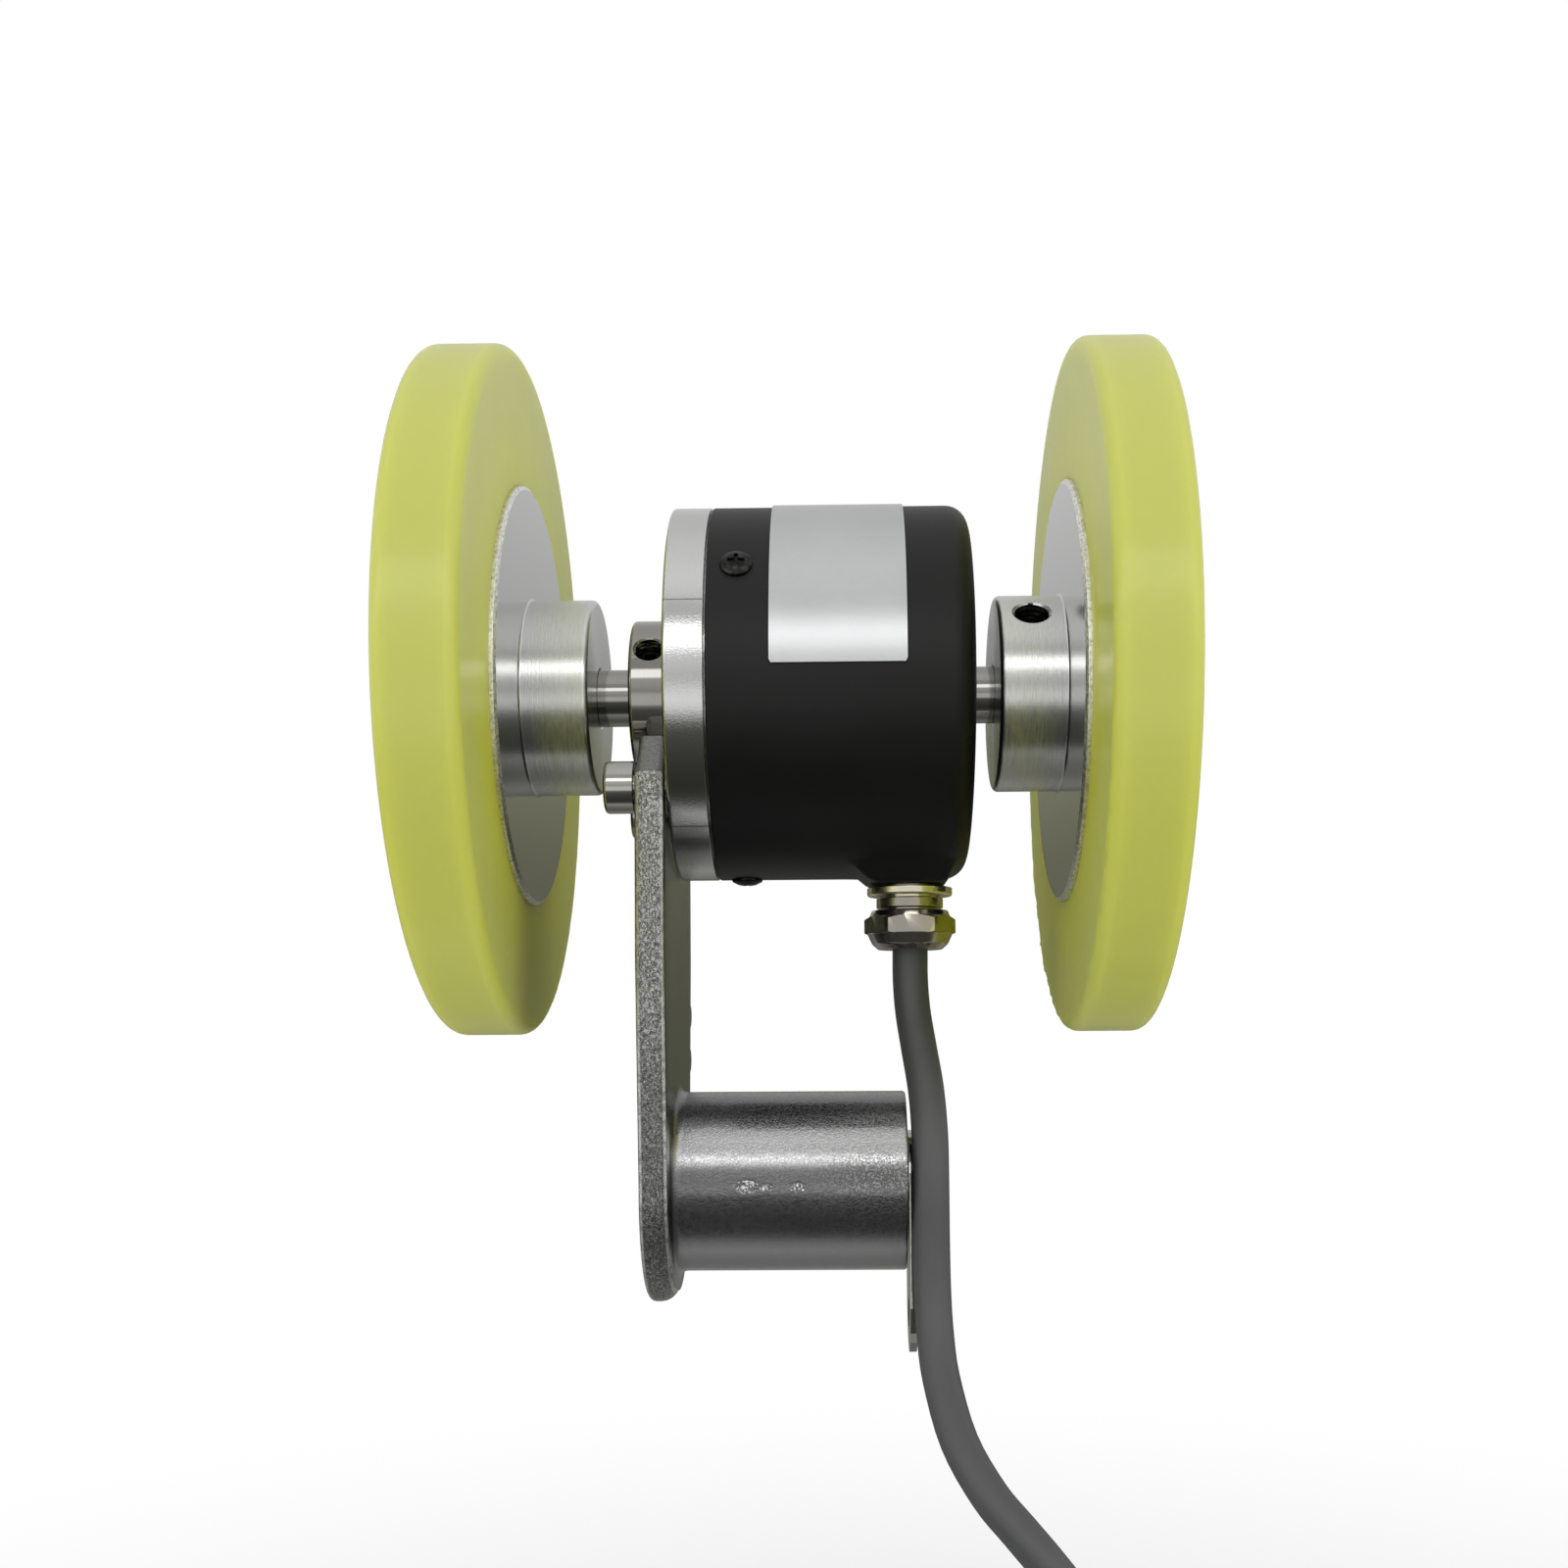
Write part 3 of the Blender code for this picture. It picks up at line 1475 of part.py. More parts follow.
def make_cable():
    """The hanging cable, the coil, its tie and the bare cores at its end."""
    start = (gland_x, 0, gland_nut_bottom - face_gap)
    points, hanging = along_route((start, *route[1:]), cable_step)
    tube("cable", points, cable_radius, 2, grey_pvc, swing_axis)
    loops, centre, last_angle = coil_path()
    tube("cable_coil", loops, cable_radius, 1, grey_pvc, pivot_axis)
    length = hanging + sum((Vector(b) - Vector(a)).length for a, b in zip(loops, loops[1:]))
    print("cable length, mm:", round(length / mm), "hanging:", round(hanging / mm))
    print("least gap of the coil to itself, mm:", round(least_self_gap(loops, cable_radius) / mm, 2))
    outer = -route[-1][1]
    inner = outer - coil_turns_a_layer * coil_pitch
    low_z = route[-1][2] - cable_radius - tie_room
    high_z = low_z + (coil_layers - 1) * coil_pitch + 2 * cable_radius + 2 * tie_room
    room = cable_radius + tie_room
    holes = [(inner - room, low_z), (outer + room, low_z), (outer + room, high_z), (inner - room, high_z)]
    t = tie_thickness
    band = [
        (inner - room - t, low_z - t),
        (outer + room + t, low_z - t),
        (outer + room + t, high_z + t),
        (inner - room - t, high_z + t),
    ]
    flat(
        "cable_tie",
        [band, holes],
        centre.x - tie_width / 2,
        centre.x + tie_width / 2,
        black_rubber,
        pivot_axis,
    )
    end = Vector(loops[-1])
    along = (end - Vector(loops[-2])).normalized()
    outward = along.cross(Vector((0, 0, 1)))
    for i, (name, colour) in enumerate(core_colours.items()):
        turn = full_turn * i / len(core_colours)
        start = end + outward * core_circle * math.sin(turn) + Vector((0, 0, core_circle * math.cos(turn)))
        points = []
        for k in range(core_points + 1):
            share = k / core_points
            lean = (core_lean + core_fan * math.sin(turn)) * share**2
            points.append(start + along * (face_gap + core_length * share) + outward * lean)
        tube(name, points, core_radius, 1, finish(name, colour, 0.5), pivot_axis)


make_wheels()
make_shafts()
make_bearing("front", front_bearing)
make_bearing("rear", rear_bearing)
make_flange()
make_cover()
make_gland(make_disc_and_board())
make_arm()
make_pivot()
make_cable()
shade_pieces()
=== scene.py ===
import json
import math

import bmesh
import bpy
from mathutils import Matrix, Vector, noise


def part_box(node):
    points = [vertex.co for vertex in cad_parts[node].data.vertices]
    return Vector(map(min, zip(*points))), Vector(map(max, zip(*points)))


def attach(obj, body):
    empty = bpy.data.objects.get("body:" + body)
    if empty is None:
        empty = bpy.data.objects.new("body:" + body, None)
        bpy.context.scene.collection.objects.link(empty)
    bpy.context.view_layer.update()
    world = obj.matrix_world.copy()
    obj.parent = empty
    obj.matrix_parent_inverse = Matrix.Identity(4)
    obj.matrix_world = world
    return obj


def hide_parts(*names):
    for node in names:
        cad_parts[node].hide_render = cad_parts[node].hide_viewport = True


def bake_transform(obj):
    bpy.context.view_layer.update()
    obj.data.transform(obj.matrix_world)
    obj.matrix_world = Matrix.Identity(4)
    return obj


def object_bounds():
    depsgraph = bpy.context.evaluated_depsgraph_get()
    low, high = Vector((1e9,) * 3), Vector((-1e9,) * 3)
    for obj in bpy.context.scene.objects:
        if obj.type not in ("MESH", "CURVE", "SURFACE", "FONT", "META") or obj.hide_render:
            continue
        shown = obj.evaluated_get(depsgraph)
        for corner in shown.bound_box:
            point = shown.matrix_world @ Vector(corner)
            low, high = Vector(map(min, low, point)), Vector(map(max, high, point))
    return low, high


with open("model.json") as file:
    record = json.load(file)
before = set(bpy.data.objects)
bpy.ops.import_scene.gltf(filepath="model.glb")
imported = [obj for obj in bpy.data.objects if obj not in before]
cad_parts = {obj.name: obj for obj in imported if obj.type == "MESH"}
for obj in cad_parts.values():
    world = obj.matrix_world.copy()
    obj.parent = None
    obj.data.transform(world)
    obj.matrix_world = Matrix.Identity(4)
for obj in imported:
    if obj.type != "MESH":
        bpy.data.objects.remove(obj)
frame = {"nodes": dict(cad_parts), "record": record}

cadBox = [list(corner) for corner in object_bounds()]
mm = 0.001
degree = math.pi / 180
fullTurn = 2 * math.pi
shaftHeight = 68.5  # the wheel shaft over the pivot, mm
shaftCentre = (0, 0, shaftHeight)
middleX = -16.25  # halfway between the wheels, mm
scene = bpy.context.scene
nodes = frame["nodes"]
print("frame loaded:", len(nodes), "nodes")


# Node trees


def joined(operation, turned=False):
    # a method for the sign between two wires, or between a wire and a number
    if turned:
        return lambda self, other: self.calc(operation, other, self)
    return lambda self, other: self.calc(operation, self, other)


class Wire:
    # one output, on which sums and steps add nodes
    def __init__(self, sheet, output):
        self.sheet, self.output = sheet, output

    def calc(self, operation, *values):
        return self.sheet.add("ShaderNodeMath", dict(enumerate(values)), {"operation": operation})

    __add__, __radd__ = joined("ADD"), joined("ADD", True)
    __sub__, __rsub__ = joined("SUBTRACT"), joined("SUBTRACT", True)
    __mul__, __rmul__ = joined("MULTIPLY"), joined("MULTIPLY", True)
    __truediv__, __pow__ = joined("DIVIDE"), joined("POWER")
    __gt__, __lt__ = joined("GREATER_THAN"), joined("LESS_THAN")

    def __abs__(self):
        return self.calc("ABSOLUTE", self)

    def step(self, low, high):
        # 0 up to low, 1 from high on, smooth between
        ends = {"Value": self, "From Min": low, "From Max": high}
        return self.sheet.add("ShaderNodeMapRange", ends, {"interpolation_type": "SMOOTHSTEP"})

    def past(self, low, high):
        # the same step over a length, in millimetres
        return self.step(low * mm, high * mm)


class Sheet:
    # a node tree, in which every node comes from add
    def __init__(self, tree):
        self.tree = tree
        tree.nodes.clear()

    def find(self, sockets, key):
        if isinstance(key, int):
            return sockets[key]
        return next(socket for socket in sockets if socket.enabled and socket.name == key)

    def add(self, kind, sockets=None, settings=None, give=0):
        # gives one output as a Wire, or the node itself where give is None
        node = self.tree.nodes.new(kind)
        for name, value in (settings or {}).items():
            setattr(node, name, value)
        for key, value in (sockets or {}).items():
            socket = self.find(node.inputs, key)
            if isinstance(value, Wire):
                self.tree.links.new(value.output, socket)
            else:
                socket.default_value = (*value, 1) if socket.type == "RGBA" else value
        return node if give is None else Wire(self, self.find(node.outputs, give))

    def close(self, shader, kind="Material"):
        self.add("ShaderNodeOutput" + kind, {"Surface": shader}, give=None)

    def place(self, centre=(0, 0, 0), stretch=(1, 1, 1)):
        spot = self.add("ShaderNodeTexCoord", give="Object")
        shift = [-along * mm * factor for along, factor in zip(centre, stretch)]
        return self.add("ShaderNodeMapping", {"Vector": spot, "Location": shift, "Scale": stretch})

    def parts(self, vector):
        node = self.add("ShaderNodeSeparateXYZ", {"Vector": vector}, give=None)
        return [Wire(self, output) for output in node.outputs]

    def fromShaft(self):
        # the place seen from the shaft, its parts, and its distance from the shaft's axis
        spot = self.place(shaftCentre)
        x, y, z = self.parts(spot)
        return spot, x, y, z, (y * y + z * z) ** 0.5

    def cloud(self, vector, size, detail=2.0, rough=0.5):
        # noise with grains about this many millimetres across
        values = {"Vector": vector, "Scale": 1 / (size * mm), "Detail": detail, "Roughness": rough}
        return self.add("ShaderNodeTexNoise", values)

    def mix(self, first, second, share):
        values = {"Factor": share, "A": first, "B": second}
        return self.add("ShaderNodeMix", values, {"data_type": "RGBA"}, "Result")

    def skin(self, first, second, share, rough, relief, depth):
        # what a finish needs: two colours mixed, a roughness, and a relief this many millimetres deep
        bump = self.add("ShaderNodeBump", {"Height": relief, "Distance": depth * mm, "Strength": 1.0})
        return {"Base Color": self.mix(first, second, share), "Roughness": rough, "Normal": bump}


def openSheet(owner):
    owner.use_nodes = True
    return Sheet(owner.node_tree)


def newFinish(name, fixed, build):
    # a Principled material: fixed values on its own sockets, and what build gives for the rest
    material = bpy.data.materials.new(name)
    sheet = openSheet(material)
    sheet.close(sheet.add("ShaderNodeBsdfPrincipled", {**fixed, **build(sheet)}))
    return material


def newObject(name, data):
    made = bpy.data.objects.new(name, data)
    scene.collection.objects.link(made)
    return made


# Camera

viewpoint = {
    "place": (-9.6, -245.75, 20.73),
    "right": (0.99983, 0.01729, -0.00671),
    "down": (-0.00726, 0.03162, -0.99947),
    "forward": (-0.01707, 0.99935, 0.03174),
    "imagePixels": 1600,
    "focalPixels": 1774.54,
    "centrePixels": (832.1, 997.65),
}


def placeCamera(view):
    lens = bpy.data.cameras.new("photoCamera")
    camera = newObject("photoCamera", lens)
    right, down, forward = (Vector(view[key]) for key in ("right", "down", "forward"))
    turn = Matrix((right, -down, -forward)).transposed().to_4x4()
    turn.translation = Vector(view["place"]) * mm
    camera.matrix_world = turn
    lens.sensor_width = 36
    lens.lens = view["focalPixels"] / view["imagePixels"] * 36
    lens.shift_x = 0.5 - view["centrePixels"][0] / view["imagePixels"]
    lens.shift_y = view["centrePixels"][1] / view["imagePixels"] - 0.5
    lens.clip_start = 0.01
    lens.clip_end = 20
    scene.camera = camera


placeCamera(viewpoint)
scene.view_settings.view_transform = "Standard"
print("camera placed")


# Geometry node trees that make pieces


def newTree(name, inputs):
    tree = bpy.data.node_groups.new(name, "GeometryNodeTree")
    for direction in ("INPUT", "OUTPUT"):
        tree.interface.new_socket("Geometry", in_out=direction, socket_type="NodeSocketGeometry")
    for label, kind in {**inputs, "Material": "Material"}.items():
        tree.interface.new_socket(label, in_out="INPUT", socket_type="NodeSocket" + kind)
    sheet = Sheet(tree)
    start = sheet.add("NodeGroupInput", give=None)
    return sheet, {socket.name: Wire(sheet, socket) for socket in start.outputs if socket.name}


def closeTree(sheet, geometry, given):
    whole = sheet.add("GeometryNodeRealizeInstances", {0: geometry})
    done = sheet.add("GeometryNodeSetMaterial", {"Geometry": whole, "Material": given["Material"]})
    sheet.add("NodeGroupOutput", {"Geometry": done}, give=None)
    return sheet.tree


def turningTree():
    # a profile of radius and height, its corners rounded, turned about the axis
    sheet, given = newTree("turning", {"Sides": "Int", "Corner Steps": "Int", "Start Radius": "Float"})
    rounding = sheet.add("GeometryNodeInputNamedAttribute", {"Name": "rounding"}, {"data_type": "FLOAT"})
    line = sheet.add("GeometryNodeMeshToCurve", {0: given["Geometry"]})
    corners = {"Curve": line, "Count": given["Corner Steps"], "Radius": rounding, "Limit Radius": True}
    line = sheet.add("GeometryNodeFilletCurve", corners, {"mode": "POLY"})
    circle = {"Resolution": given["Sides"], "Radius": given["Start Radius"]}
    ring = sheet.add("GeometryNodeCurvePrimitiveCircle", circle)
    skin = sheet.add("GeometryNodeCurveToMesh", {"Curve": ring, "Profile Curve": line})
    return closeTree(sheet, skin, given)


def tubeTree():
    # a round tube with closed ends along a line of points
    sheet, given = newTree("tube", {"Radius": "Float", "Sides": "Int"})
    line = sheet.add("GeometryNodeMeshToCurve", {0: given["Geometry"]})
    circle = {"Resolution": given["Sides"], "Radius": given["Radius"]}
    ring = sheet.add("GeometryNodeCurvePrimitiveCircle", circle)
    skin = sheet.add("GeometryNodeCurveToMesh", {"Curve": line, "Profile Curve": ring, "Fill Caps": True})
    return closeTree(sheet, skin, given)


def copyTree():
    # a copy of one shape at each point, turned by the point's own angles
    sheet, given = newTree("copies", {"Shape": "Object"})
    shape = sheet.add("GeometryNodeObjectInfo", {"Object": given["Shape"]}, give="Geometry")
    turns = sheet.add("GeometryNodeInputNamedAttribute", {"Name": "turn"}, {"data_type": "FLOAT_VECTOR"})
    values = {"Points": given["Geometry"], "Instance": shape, "Rotation": turns}
    return closeTree(sheet, sheet.add("GeometryNodeInstanceOnPoints", values), given)


turning, tube, copying = turningTree(), tubeTree(), copyTree()


def pointObject(name, points, edges=(), faces=()):
    mesh = bpy.data.meshes.new(name)
    mesh.from_pydata([tuple(point) for point in points], edges, faces)
    return newObject(name, mesh)


def plainMesh(piece, weld=0.004, corner=31):
    # the evaluated shape as a plain mesh at the origin, closed, outside out, smooth between corners
    bpy.context.view_layer.update()
    graph = bpy.context.evaluated_depsgraph_get()
    mesh = bpy.data.meshes.new_from_object(piece.evaluated_get(graph))
    mesh.transform(piece.matrix_world)
    shape = bmesh.new()
    shape.from_mesh(mesh)
    bmesh.ops.remove_doubles(shape, verts=shape.verts, dist=weld * mm)
    bmesh.ops.recalc_face_normals(shape, faces=shape.faces)
    shape.to_mesh(mesh)
    shape.free()
    mesh.shade_smooth()
    mesh.set_sharp_from_angle(angle=corner * degree)
    name, old = piece.name, piece.data
    bpy.data.objects.remove(piece)
    bpy.data.meshes.remove(old)
    mesh.name = name
    return newObject(name, mesh)


def runTree(piece, tree, finish, **values):
    # the inputs go in by their identifiers, before the piece is first evaluated
    inputs = [item for item in tree.interface.items_tree if item.in_out == "INPUT"]
    named = {item.name.replace(" ", ""): item.identifier for item in inputs}
    step = piece.modifiers.new(tree.name, "NODES")
    step.node_group = tree
    for label, value in {**values, "Material": finish}.items():
        step[named[label]] = value
    return piece


def propCorners(outline):
    # a point close to each rounded corner on both its sides, so that flat faces shade flat
    closed = bool(outline[0][1] or outline[-1][1])
    count, propped = len(outline), []
    for i, (along, radius, rounding) in enumerate(outline):
        here = Vector((along, radius))
        props = [[], []]
        if rounding and (closed or 0 < i < count - 1):
            others = [outline[(i + step) % count] for step in (-1, 1)]
            aways = [Vector(other[:2]) - here for other in others]
            reach = rounding / math.tan(aways[0].angle(aways[1]) / 2) + 0.05
            for prop, away, other in zip(props, aways, others):
                if away.length > reach + 1.2 * other[2] + 0.1:
                    prop.append((*(here + away.normalized() * reach), 0))
        propped += [*props[0], (along, radius, rounding), *props[1]]
    return propped


def makeTurned(name, outline, finish=None, sides=160, steps=5, centre=(0, 0, 0), upright=False):
    # outline of (along, radius, rounding) in mm, end to end; it closes itself unless it ends on the axis
    start = 1e-5
    outline = propCorners(outline)
    count = len(outline)
    edges = [(i, i + 1) for i in range(count - 1)]
    if outline[0][1] or outline[-1][1]:
        edges.append((count - 1, 0))
    points = [(radius * mm - start, -along * mm, 0) for along, radius, _ in outline]
    piece = pointObject(name, points, edges)
    rounding = piece.data.attributes.new("rounding", "FLOAT", "POINT")
    for i, point in enumerate(outline):
        rounding.data[i].value = point[2] * mm
    runTree(piece, turning, finishes.get(finish), Sides=sides, CornerSteps=steps, StartRadius=start)
    if not upright:
        piece.rotation_euler.y = math.pi / 2
    piece.location = Vector(centre) * mm
    return plainMesh(piece)


def makeTube(name, points, radius, sides, finish):
    edges = [(i, i + 1) for i in range(len(points) - 1)]
    piece = pointObject(name, [Vector(point) * mm for point in points], edges)
    runTree(piece, tube, finishes[finish], Radius=radius * mm, Sides=sides)
    return plainMesh(piece, corner=50)


def makeCopies(name, shape, places):
    # places are (point in mm, turns about X, Y and Z)
    piece = pointObject(name, [Vector(point) * mm for point, _ in places])
    turn = piece.data.attributes.new("turn", "FLOAT_VECTOR", "POINT")
    for i, (_, angles) in enumerate(places):
        turn.data[i].vector = angles
    piece = plainMesh(runTree(piece, copying, shape.data.materials[0], Shape=shape))
    bpy.data.objects.remove(shape)
    return piece


def newMesh(name, shape, finish=None):
    mesh = bpy.data.meshes.new(name)
    shape.to_mesh(mesh)
    shape.free()
    if finish:
        mesh.materials.append(finishes[finish])
    return newObject(name, mesh)


def makeBlock(name, low, high, finish=None, edge=0.0):
    shape = bmesh.new()
    bmesh.ops.create_cube(shape, size=1)
    low, high = Vector(low) * mm, Vector(high) * mm
    bmesh.ops.scale(shape, vec=high - low, verts=shape.verts)
    bmesh.ops.translate(shape, vec=(low + high) / 2, verts=shape.verts)
    if edge:
        rounded = {"offset": edge * mm, "segments": 3, "profile": 0.5, "affect": "EDGES"}
        bmesh.ops.bevel(shape, geom=shape.edges, **rounded)
    return newMesh(name, shape, finish)


def bridge(shape, rings, closed=True):
    # a band of faces between each ring of points and the next
    for one, two in zip(rings, rings[1:]):
        for i in range(0 if closed else 1, len(one)):
            shape.faces.new((one[i - 1], one[i], two[i], two[i - 1]))


def carve(piece, *cutters, operation="DIFFERENCE"):
    for cutter in cutters:
        step = piece.modifiers.new("carve", "BOOLEAN")
        step.operation = operation
        step.object = cutter
    material = piece.data.materials[0]
    piece = plainMesh(piece)
    for cutter in cutters:
        bpy.data.objects.remove(cutter)
    piece.data.materials.clear()
    piece.data.materials.append(material)
    return piece


def settle(piece, body, *stoodFor):
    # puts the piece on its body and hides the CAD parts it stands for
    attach(piece, body)
    if stoodFor:
        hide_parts(*stoodFor)
    return piece


def rod(top, bottom, radius, edge=0.0):
    return [(top, 0, 0), (top, radius, edge), (bottom, radius, edge), (bottom, 0, 0)]


def onShaft(x, radius, angle):
    # an angle of 0 is at the front, 90 degrees on top
    return (x, -radius * math.cos(angle * degree), shaftHeight + radius * math.sin(angle * degree))


def standOut(angle):
    # turns +Z out from the shaft at this angle
    return (math.pi / 2 - angle * degree, 0, 0)


def span(node):
    low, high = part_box(node)
    return low / mm, high / mm


# Finishes

colours = {
    # one colour, or the two that a finish goes between
    "aluminium": ((0.54, 0.545, 0.53), (0.67, 0.675, 0.665)),
    "disc": (0.45, 0.455, 0.445),  # the wheels' discs are duller
    "boss": (0.75, 0.755, 0.745),
    # the colour of the painted shade on the flange's lower edge
    "oil": (0.3, 0.295, 0.27),
    # the colour of the painted reflection lines on the flange
    "scribed": (0.16, 0.16, 0.15),
    "sawn": ((0.6, 0.59, 0.56), (0.98, 0.97, 0.92)),
    "plate": ((0.07, 0.07, 0.067), (0.68, 0.68, 0.67)),
    "plateEdge": (0.9, 0.9, 0.88),
    "plateSide": (0.2, 0.21, 0.165),
    "barrel": ((0.13, 0.13, 0.134), (0.26, 0.26, 0.265)),
    "barrelLit": (0.58, 0.58, 0.585),
    "dent": (0.85, 0.85, 0.84),
    "steel": ((0.34, 0.335, 0.305), (0.48, 0.47, 0.44)),
    "shaft": (0.2, 0.197, 0.18),
    "nickel": ((0.42, 0.39, 0.34), (0.5, 0.46, 0.25)),  # the second is a painted reflection of the tyre, on its right side
    # the washer's lighter colour is a painted highlight
    "washer": (0.85, 0.79, 0.6),
    "spring": ((0.16, 0.16, 0.17), (0.32, 0.31, 0.3)),
    "cover": ((0.003, 0.003, 0.003), (0.006, 0.006, 0.0062)),
    "screw": ((0.018, 0.018, 0.018), (0.07, 0.068, 0.064)),
    "foil": ((0.46, 0.475, 0.475), (0.6, 0.615, 0.615)),
    "tyre": ((0.53, 0.55, 0.115), (0.58, 0.6, 0.03)),  # at its edge, and towards the hub
    # the colour of the painted shade on the tyre's rounded corners
    "tyreCorner": (0.42, 0.44, 0.06),
    "tyreSpeck": (0.53, 0.55, 0.16),
    "cable": ((0.048, 0.049, 0.049), (0.072, 0.073, 0.073)),
    "rubber": ((0.014, 0.014, 0.014), (0.03, 0.03, 0.03)),
    "nylon": ((0.7, 0.68, 0.62), (0.78, 0.77, 0.72)),
    "board": ((0.012, 0.11, 0.045), (0.03, 0.2, 0.08)),
    "glass": ((0.5, 0.56, 0.58), (0.03, 0.03, 0.035)),
    "cores": {
        "red": (0.5, 0.02, 0.015),
        "black": (0.015, 0.015, 0.015),
        "green": (0.02, 0.3, 0.07),
        "white": (0.7, 0.7, 0.68),
        "yellow": (0.72, 0.55, 0.03),
    },
}


def turnedAluminium(sheet):
    scribed = (7.93, -20.3)  # heights of the painted dark reflection lines across the flange's edge, from the shaft
    spot, x, y, z, radius = sheet.fromShaft()
    lathe = sheet.add("ShaderNodeCombineXYZ", {"X": x * 9, "Y": radius * 9, "Z": (y + z) * 0.15})
    lines = sheet.cloud(lathe, 0.6, 3.0, 0.6)
    frost = sheet.cloud(spot, 0.22, 2.0, 0.6)
    dull = sheet.cloud(spot, 6.0, 2.0)
    away = abs(x - middleX * mm)
    rim = radius.past(25.6, 25.9) * away.past(20, 18)  # the flange's edge
    oil = z.past(-5, -9) * rim * (1 - z.past(-16, -19))  # painted shade: a darker band on the flange's lower edge, standing for a dark reflection
    wide = radius.past(13.8, 14.2)
    disc = 1 - (1 - away.past(37.2, 37.5)) * (1 - away.past(36.6, 36.9) * wide)
    boss = (1 - wide) * (1 - disc)
    # painted reflection: dark lines where the flange's reflection changes, on its front only
    paintedReflectionLine = 0
    for height in scribed:
        paintedReflectionLine = paintedReflectionLine + abs(z - height * mm).past(0.14, 0.05)
    paintedReflectionLine = paintedReflectionLine * rim * (y < 0)
    metal = sheet.mix(*colours["aluminium"], lines * 0.6 + dull * 0.4 - disc * 0.9)
    metal = sheet.mix(metal, colours["disc"], disc * 0.5)
    metal = sheet.mix(metal, colours["boss"], boss * 0.3)
    metal = sheet.mix(metal, colours["oil"], oil * 0.8)
    rough = 0.06 + lines * 0.05 + frost * 0.04 - disc * 0.02 + boss * 0.1
    relief = lines * (1.7 - disc * 1.2 - rim * 1.1 + boss * 0.6) + frost * (0.6 + rim * 0.8)
    return sheet.skin(metal, colours["scribed"], paintedReflectionLine * 0.7, rough, relief, 0.012)


def sawnAluminium(sheet):
    teeth = sheet.cloud(sheet.place(), 0.5, 4.0, 0.7)
    share, rough = teeth.step(0.35, 0.6), 0.22 + teeth * 0.25
    return sheet.skin(*colours["sawn"], share, rough, teeth, 0.12)


def castMetal(sheet):
    dentPlaces = ((-22.9, 0.3, 2.1), (-20.4, 0.2, 1.1), (-16.2, 0.2, 1.4))  # x, z and reach in mm
    spot = sheet.place()
    x, y, z = sheet.parts(spot)
    grain = sheet.cloud(spot, 0.19, 3.0, 0.7)
    dapple = sheet.cloud(spot, 0.55, 2.0, 0.6)
    drawn = sheet.cloud(sheet.place(stretch=(1, 1, 0.55)), 0.3, 3.0, 0.7)  # runs along the arm
    pits = sheet.cloud(spot, 1.4, 2.0)
    stain = sheet.cloud(spot, 9.0, 3.0)
    nicks = sheet.cloud(spot, 0.28, 2.0, 0.7).step(0.44, 0.56)
    plate = x.past(-31.5, -32.9)  # rough on the plate, smoother on the barrel
    side = abs(x + 35.1 * mm)  # from the middle of the plate
    flat = side.past(1.8, 1.96)
    rough = plate * (1 - z.past(54.6, 55.4) * 0.8) * (1 - flat * 0.8)
    smooth = 1 - rough
    dents = 0
    for placeX, placeZ, reach in dentPlaces:
        offX, offZ = x - placeX * mm, z - placeZ * mm
        spread = offX * offX + offZ * offZ * 3
        dents = dents + spread.step(reach**2 * 1e-6, reach**2 * 2e-7) * nicks
    dents = dents * (y < 0) * (1 - plate)
    # partly painted glints: bright specks near the barrel's right end, over real grit relief
    gritAndGlints = x.past(-15, -6) * z.past(-1.2, 0.4) * (1 - z.past(1.6, 6) * 0.9) * nicks
    bright = (grain * 0.55 + drawn * 0.45).step(0.4, 0.65)
    shade = 1.1 - z.past(30, 8) * 0.5 + z.past(-5, -13) * 0.5
    edges = side.past(1.35, 1.6) * (1 - flat) * (0.55 + pits.step(0.4, 0.55) * 0.45)
    dark = sheet.mix(*colours["plate"], bright * shade)
    dark = sheet.mix(dark, colours["plateEdge"], edges * 0.85)  # lighter along its rounded edges
    # painted reflection: the flat sides take an olive tint from the surroundings
    dark = sheet.mix(dark, colours["plateSide"], flat * 0.5)
    worn = sheet.mix(*colours["barrel"], stain * 0.35 + grain * 0.65)
    lit = z.past(2, 5) * (0.9 - z.past(6, 9) * 0.35 - z.past(8.8, 10.2) * 0.55)
    lit = lit + z.past(-6.5, -9) * 0.5
    worn = sheet.mix(worn, colours["barrelLit"], lit)
    worn = sheet.mix(worn, colours["dent"], dents * 0.8 + gritAndGlints * 0.25)
    dust = 0.03 + z.past(6, 9) * 0.03 + z.past(-6, -9) * 0.08
    relief = grain * (0.1 + rough * 1.2) + dapple * smooth * 0.15 - nicks * smooth * 0.15
    relief = relief + pits * 0.25 + drawn * rough * 0.8 - dents * 1.2 - gritAndGlints * 0.5
    gloss = 0.03 + stain * 0.03 + grain * 0.03 + rough * 0.12
    return {**sheet.skin(worn, dark, rough, gloss, relief, 0.1), "Metallic": 1 - (1 - plate) * dust}


def groundSteel(sheet):
    spot, x, y, z, radius = sheet.fromShaft()
    fine = sheet.cloud(sheet.place(shaftCentre, (8, 1, 1)), 0.8, 3.0)
    cloudy = sheet.cloud(spot, 4.0, 2.0)
    metal = sheet.mix(*colours["steel"], fine * 0.5 + cloudy * 0.5)
    onAxis = radius.past(15, 13)  # the shaft is darker than the screws
    return sheet.skin(metal, colours["shaft"], onAxis * 0.5, 0.03 + fine * 0.05, fine, 0.002)


